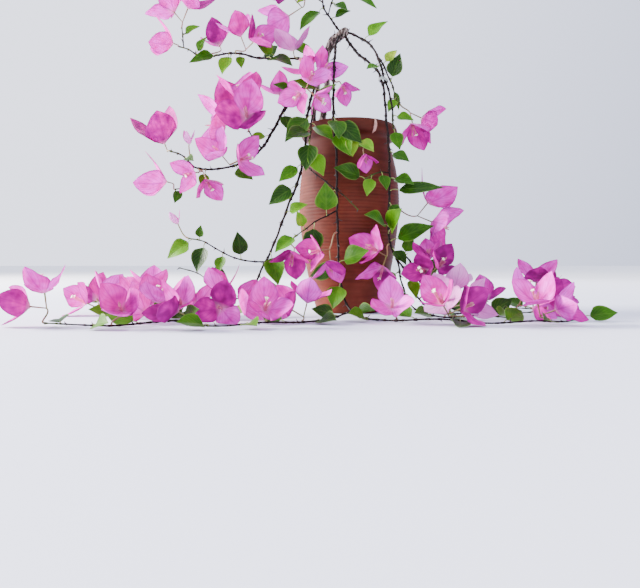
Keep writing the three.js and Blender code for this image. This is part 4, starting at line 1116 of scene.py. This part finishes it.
grow("arch_right", ("trunk", 0, 7.2), (2.2, 1), [
    (7, -20, 312), (27, -38, 288), (34, -48, 272), (37, -56, 252), (39, -60, 222), (42, -61, 190),
    (43, -62, 150), (42, -62, 110), (44, -62, 82), (52, -65, 62), (57, -74, 34), (68, -88, 10),
    (98, -104, 2), (135, -114, 5), (166, -114, 2),
], leaves=[
    (6.1, -30, 30, 22), (7.2, 2, 10, 50, 0, 0.34), (7.5, -60, 30, 18), (8.3, 150, 35, 30, 0, 0.85),
    (8.55, 75, 30, 32, 0, 0.9), (8.9, 22, 15, 42, 0, 0.55), (9.2, -50, 30, 22), (10.4, 215, 35, 20),
    (11.1, -100, 35, 20), (12.6, 160, 50, 26), (13.5, 20, 60, 28), (14.5, 10, -30, 26),
    (6.85, -15, 30, 24, 0, 0.9),
], heads=[
    (7.6, 103, -56, 122, 15, 20, 2, 40), (9, 23, -85, 62, 200, 45, 2, 34),
    (13, 110, -116, 30, 75, 35, 3, 32, 1), (15, 188, -128, 25, 30, 30, 2, 29),
])
grow("arch_right", 6.7, (1.1, 0.9), [
    (30, -68, 162), (14, -71, 154),
], leaves=[
    (2, 158, 15, 30, 0, 0.8), (1.5, -105, 20, 20), (0.8, -75, 25, 19),
])
grow("arch_right_inner", ("trunk", 0, 7.6), (2, 1.3), [
    (9, -7, 335), (25, -18, 320), (33, -32, 298), (38.5, -44, 272), (44, -48, 254), (47, -50, 235),
    (48, -52, 214),
], leaves=[
    (1.5, 41, 15, 27), (6.3, -15, 25, 20), (7, -75, 25, 22), (3.3, 200, 20, 18),
])
grow("arch_right_inner", 2.5, (1.5, 0.9), [
    (39, -20, 297), (49, -18, 277), (54, -17, 263), (60, -16, 252),
], leaves=[
    (2, 74, 15, 27), (2.4, -68, -20, 22, 0, 0.4), (3.3, -120, 20, 17), (1, 45, 10, 18),
], heads=[
    (4, 84, -16, 223, -62, 15, 2, 33),
])
grow("whip_right_middle", ("arch_right", 0, 9.9), (1.5, 0.9), [
    (62, -66, 50), (74, -70, 22), (98, -70, 4), (136, -64, 3), (174, -60, 2), (206, -62, 4),
], leaves=[
    (1.2, -70, 30, 22), (2.4, 10, 40, 24), (3.5, 150, 50, 24), (4.5, 30, -20, 28),
    (5.3, 170, 40, 24),
], heads=[
    (2.1, 87, -92, 62, 90, 45, 3, 28), (6, 226, -70, 28, 35, 25, 4, 34),
])
grow("whip_right_outer", ("arch_right", 0, 9.6), (1.5, 0.9), [
    (63, -59, 67), (80, -53, 46), (100, -46, 21), (127, -34, 5), (166, -20, 2), (206, -12, 5),
    (236, -14, 3),
], leaves=[
    (0.8, 70, 20, 20), (2.2, 60, 10, 24), (3.2, 10, 30, 26), (4.5, 160, -30, 26),
    (6.4, 150, -40, 26),
], heads=[
    (1.5, 100, -50, 80, 40, 20, 1, 31), (7, 256, -16, 23, 30, 10, 1, 31),
    (5, 172, 2, 26, 80, -40, 1, 31),
])
grow("whip_front", ("trunk", 0, 6.9), (2.1, 1), [
    (-17, -26, 319), (-20, -50, 278), (-21, -69, 222), (-18, -73, 187), (-17, -74, 131),
    (-16, -75, 86), (-14, -78, 50), (-8, -91, 18), (6, -113, 3), (38, -140, 2), (82, -158, 5),
    (127, -168, 2), (170, -166, 4), (208, -150, 2), (236, -128, 5),
], leaves=[
    (3, -75, 30, 30), (3.35, -60, 25, 31), (3.05, -40, 25, 35), (3.6, -20, 20, 25),
    (6.9, 190, 25, 28, 0, 0.85), (7.3, -110, 30, 26, 0, 0.85), (6.7, 8, 25, 30, 0, 0.85),
    (4.8, 205, 30, 18), (8.6, 20, 50, 26), (9.3, 155, 50, 28), (10.5, 150, -40, 26),
    (11.4, 20, 50, 28), (12.3, 25, -35, 28), (13.5, 160, 40, 26), (15, 10, 20, 26),
], heads=[
    (2.2, -7, -50, 256, -65, 20, 1, 24), (5.8, -35, -100, 62, -125, 35, 2, 28),
    (10.1, 34, -158, 24, 100, 50, 1, 31), (11.7, 92, -176, 26, 80, 45, 2, 32),
    (13.5, 186, -172, 26, 70, 35, 2, 32),
])
grow("whip_front", 5.25, (1.2, 0.9), [
    (-30, -77, 112), (-44, -79, 104), (-69, -81, 85),
], leaves=[
    (1.9, -95, 20, 32), (2.7, 215, 15, 28), (2.4, 110, 25, 18), (0.9, 75, 25, 30, 0, 0.85),
], heads=[
    (3, -60, -90, 60, -75, 25, 1, 31),
])
grow("whip_front", 3.3, (1.1, 0.9), [
    (-8, -75, 205), (3, -76, 199), (11, -75, 193),
], leaves=[
    (1.5, -85, 20, 21), (2.3, -60, 30, 21),
], heads=[
    (3, 15, -79, 172, -75, 20, 1, 21),
])
grow("whip_front_left", ("whip_front", 0, 8.5), (1.5, 0.9), [
    (-24, -128, 3), (-55, -158, 2), (-90, -180, 4), (-125, -194, 2), (-155, -204, 4),
], leaves=[
    (0.7, 160, 20, 24), (1.5, 20, 60, 28), (2.4, 160, -30, 26), (3.4, 20, 50, 26),
    (4.4, 160, 30, 28),
], heads=[
    (1.9, -60, -144, 26, 110, 10, 2, 31), (2.9, -84, -196, 24, 70, 50, 1, 32),
    (5, -174, -210, 22, 150, 25, 1, 31),
])
grow("whip_left", ("trunk", 0, 4.9), (2.3, 1), [
    (-41, -25, 273), (-50, -50, 232), (-53, -62, 190), (-60, -65, 155), (-70, -66, 130),
    (-89, -66, 80), (-103, -66, 52), (-114, -68, 28), (-132, -76, 6), (-165, -88, 2),
    (-205, -92, 5), (-245, -84, 2), (-280, -62, 4), (-304, -30, 2), (-314, 5, 5),
], leaves=[
    (3.5, 215, 15, 26), (4.3, 213, 15, 30), (6.2, -75, 25, 32), (8, 8, 25, 30), (8.5, -5, 40, 36),
    (5.3, 25, 25, 22), (9.4, 20, 40, 28), (10.4, 160, 45, 28), (11.5, 30, -20, 28),
    (12.5, 160, 40, 26), (13.4, 30, 20, 28), (15, 110, 10, 26),
], heads=[
    (0.9, -42, -48, 288, 90, 45, 2, 30), (9.9, -180, -62, 24, 110, -30, 1, 31),
    (10.6, -188, -108, 24, 100, 50, 1, 32), (11.7, -232, -84, 30, 110, -5, 3, 34),
    (13.8, -302, -46, 27, 110, 5, 3, 33),
])
grow("whip_left", 3.45, (1.1, 0.8), [
    (-38, -74, 157), (-20, -82, 142), (-6, -82, 131), (6, -80, 119),
])
grow("whip_left", 6.6, (1.3, 0.9), [
    (-112, -63, 62), (-130, -60, 65), (-149, -57, 73), (-170, -53, 85), (-188, -50, 89),
], leaves=[
    (3.9, -105, 20, 30), (1.8, 95, 15, 26), (4.7, 215, 15, 30), (4.3, 80, 20, 14),
    (2.9, -100, 30, 20),
], heads=[
    (5, -203, -52, 112, 110, 20, 1, 17, 1),
])
grow("whip_left", 8.2, (1.1, 0.8), [
    (-134, -62, 20), (-152, -58, 30), (-177, -53, 48), (-200, -52, 55),
], leaves=[
    (1.9, 95, 10, 26), (1.5, 200, 30, 18),
])
grow("whip_left_lower", ("whip_left", 0, 9), (1.7, 0.9), [
    (-138, -104, 4), (-158, -138, 2), (-188, -168, 4), (-225, -190, 2), (-260, -200, 4),
    (-288, -196, 5),
], leaves=[
    (0.9, 20, 50, 26), (1.6, 170, 20, 28), (2.5, 20, 30, 28), (3.5, 165, 10, 28), (4.5, 20, 50, 26),
    (5.4, 160, -40, 26),
], heads=[
    (1.7, -126, -140, 27, 60, 35, 3, 33), (3.1, -206, -156, 26, 120, -10, 2, 34),
    (4.1, -216, -206, 24, 80, 55, 1, 32), (6, -308, -184, 33, 135, 5, 2, 31),
])

# -------------------- the whole plant
for name, runs in stems.items():
    heads = [(run, row) for run in runs for row in run.heads]
    for i, (run, row) in enumerate(heads):
        add_head(f"blooms_{name}_{i + 1}", run, *row)

for name, runs in stems.items():
    if name != "trunk":
        make_stem(name, runs)

make_trunk(stems["trunk"])
make_pot()
make_soil()
make_tie(stems["arch_right"][0], 3.1, stems["arch_right_inner"][0], 4.1)
make_dry_bract()
print("widest miss of a blade's tip, mm:", round(max(worst_miss), 3))


# -------------------- floor, light and camera, in metres
def area_light(name, place, target, size, watts, colour):
    """A square soft light at a place, turned to a target."""
    light = bpy.data.lights.new(name, "AREA")
    light.size, light.energy, light.color = size, watts, shade(colour)[:3]
    made = shown(name, light)
    made.location = place
    made.rotation_euler = (Vector(target) - Vector(place)).to_track_quat("-Z", "Y").to_euler()


floor_finish, add, place = new_finish("matt_paint_with_painted_light")
specks = add("TexNoise", {"Vector": place, "Scale": per_mm(2.0), "Detail": 2.0})
# painted light: the floor turns whiter from 0.5 m to 2.5 m away, standing in for light on the far floor
far = add("VectorMath", {0: place}, out="Value", operation="LENGTH")
far = add("MapRange", {"Value": far, "From Min": 0.5, "From Max": 2.5})
lay(floor_finish, "#cfd3e2", [(far, "#ffffff")], specks, 0.02, Roughness=0.8)
reach = 40 / MM  # 40 m to each side
corners = [[x * reach, y * reach, 0] for x, y in ((-1, -1), (1, -1), (1, 1), (-1, 1))]
floor = Skin()
floor.add(corners, [np.arange(4)[None]])
floor_mesh = floor.mesh("floor")
floor_mesh.materials.append(floor_finish)
shown("floor", floor_mesh)

area_light("window", (-2.75, 0.1, 1.05), (0, 0, 0.2), 1.2, 640, "#fffaf8")
area_light("room", (1.1, -1.8, 1.2), (0, -0.05, 0.15), 1.6, 28, "#fff8f4")
area_light("behind", (0.2, 1.4, 1.2), (0, 0, 0.25), 1.2, 32, "#f6f2ff")

world = bpy.data.worlds.new("pale_room")
world.use_nodes = True
world.node_tree.nodes.clear()
add = partial(node, world.node_tree)
towards = add("TexCoord", out="Generated")
lit = {0: towards, 1: (-0.75, 0.5, 0.45)}
side = add("VectorMath", lit, out="Value", operation="DOT_PRODUCT")
side = {"Value": side, "From Min": -0.9, "From Max": 1.1}
side = add("MapRange", side, interpolation_type="SMOOTHSTEP")
colour = add("Mix", {"Factor": side, "A": "#bfcaf0", "B": "#dfe2f2"}, data_type="RGBA")
bright = add("Math", {0: side, 1: 2.2, 2: 0.8}, operation="MULTIPLY_ADD")
sky = add("Background", {"Color": colour, "Strength": bright})
add("OutputWorld", {"Surface": sky})
bpy.context.scene.world = world

focal_share = 580 / 640  # the focal length as a share of the picture's width
looks_down = 2.86  # degrees
camera = bpy.data.cameras.new("camera")
camera.sensor_width, camera.lens = 36, 36 * focal_share
camera.clip_start, camera.clip_end = 0.01, 100
viewer = shown("camera", camera)
viewer.location = (-0.036, -0.725, 0.058)
viewer.rotation_euler = (np.radians(90 - looks_down), 0, 0)
bpy.context.scene.camera = viewer
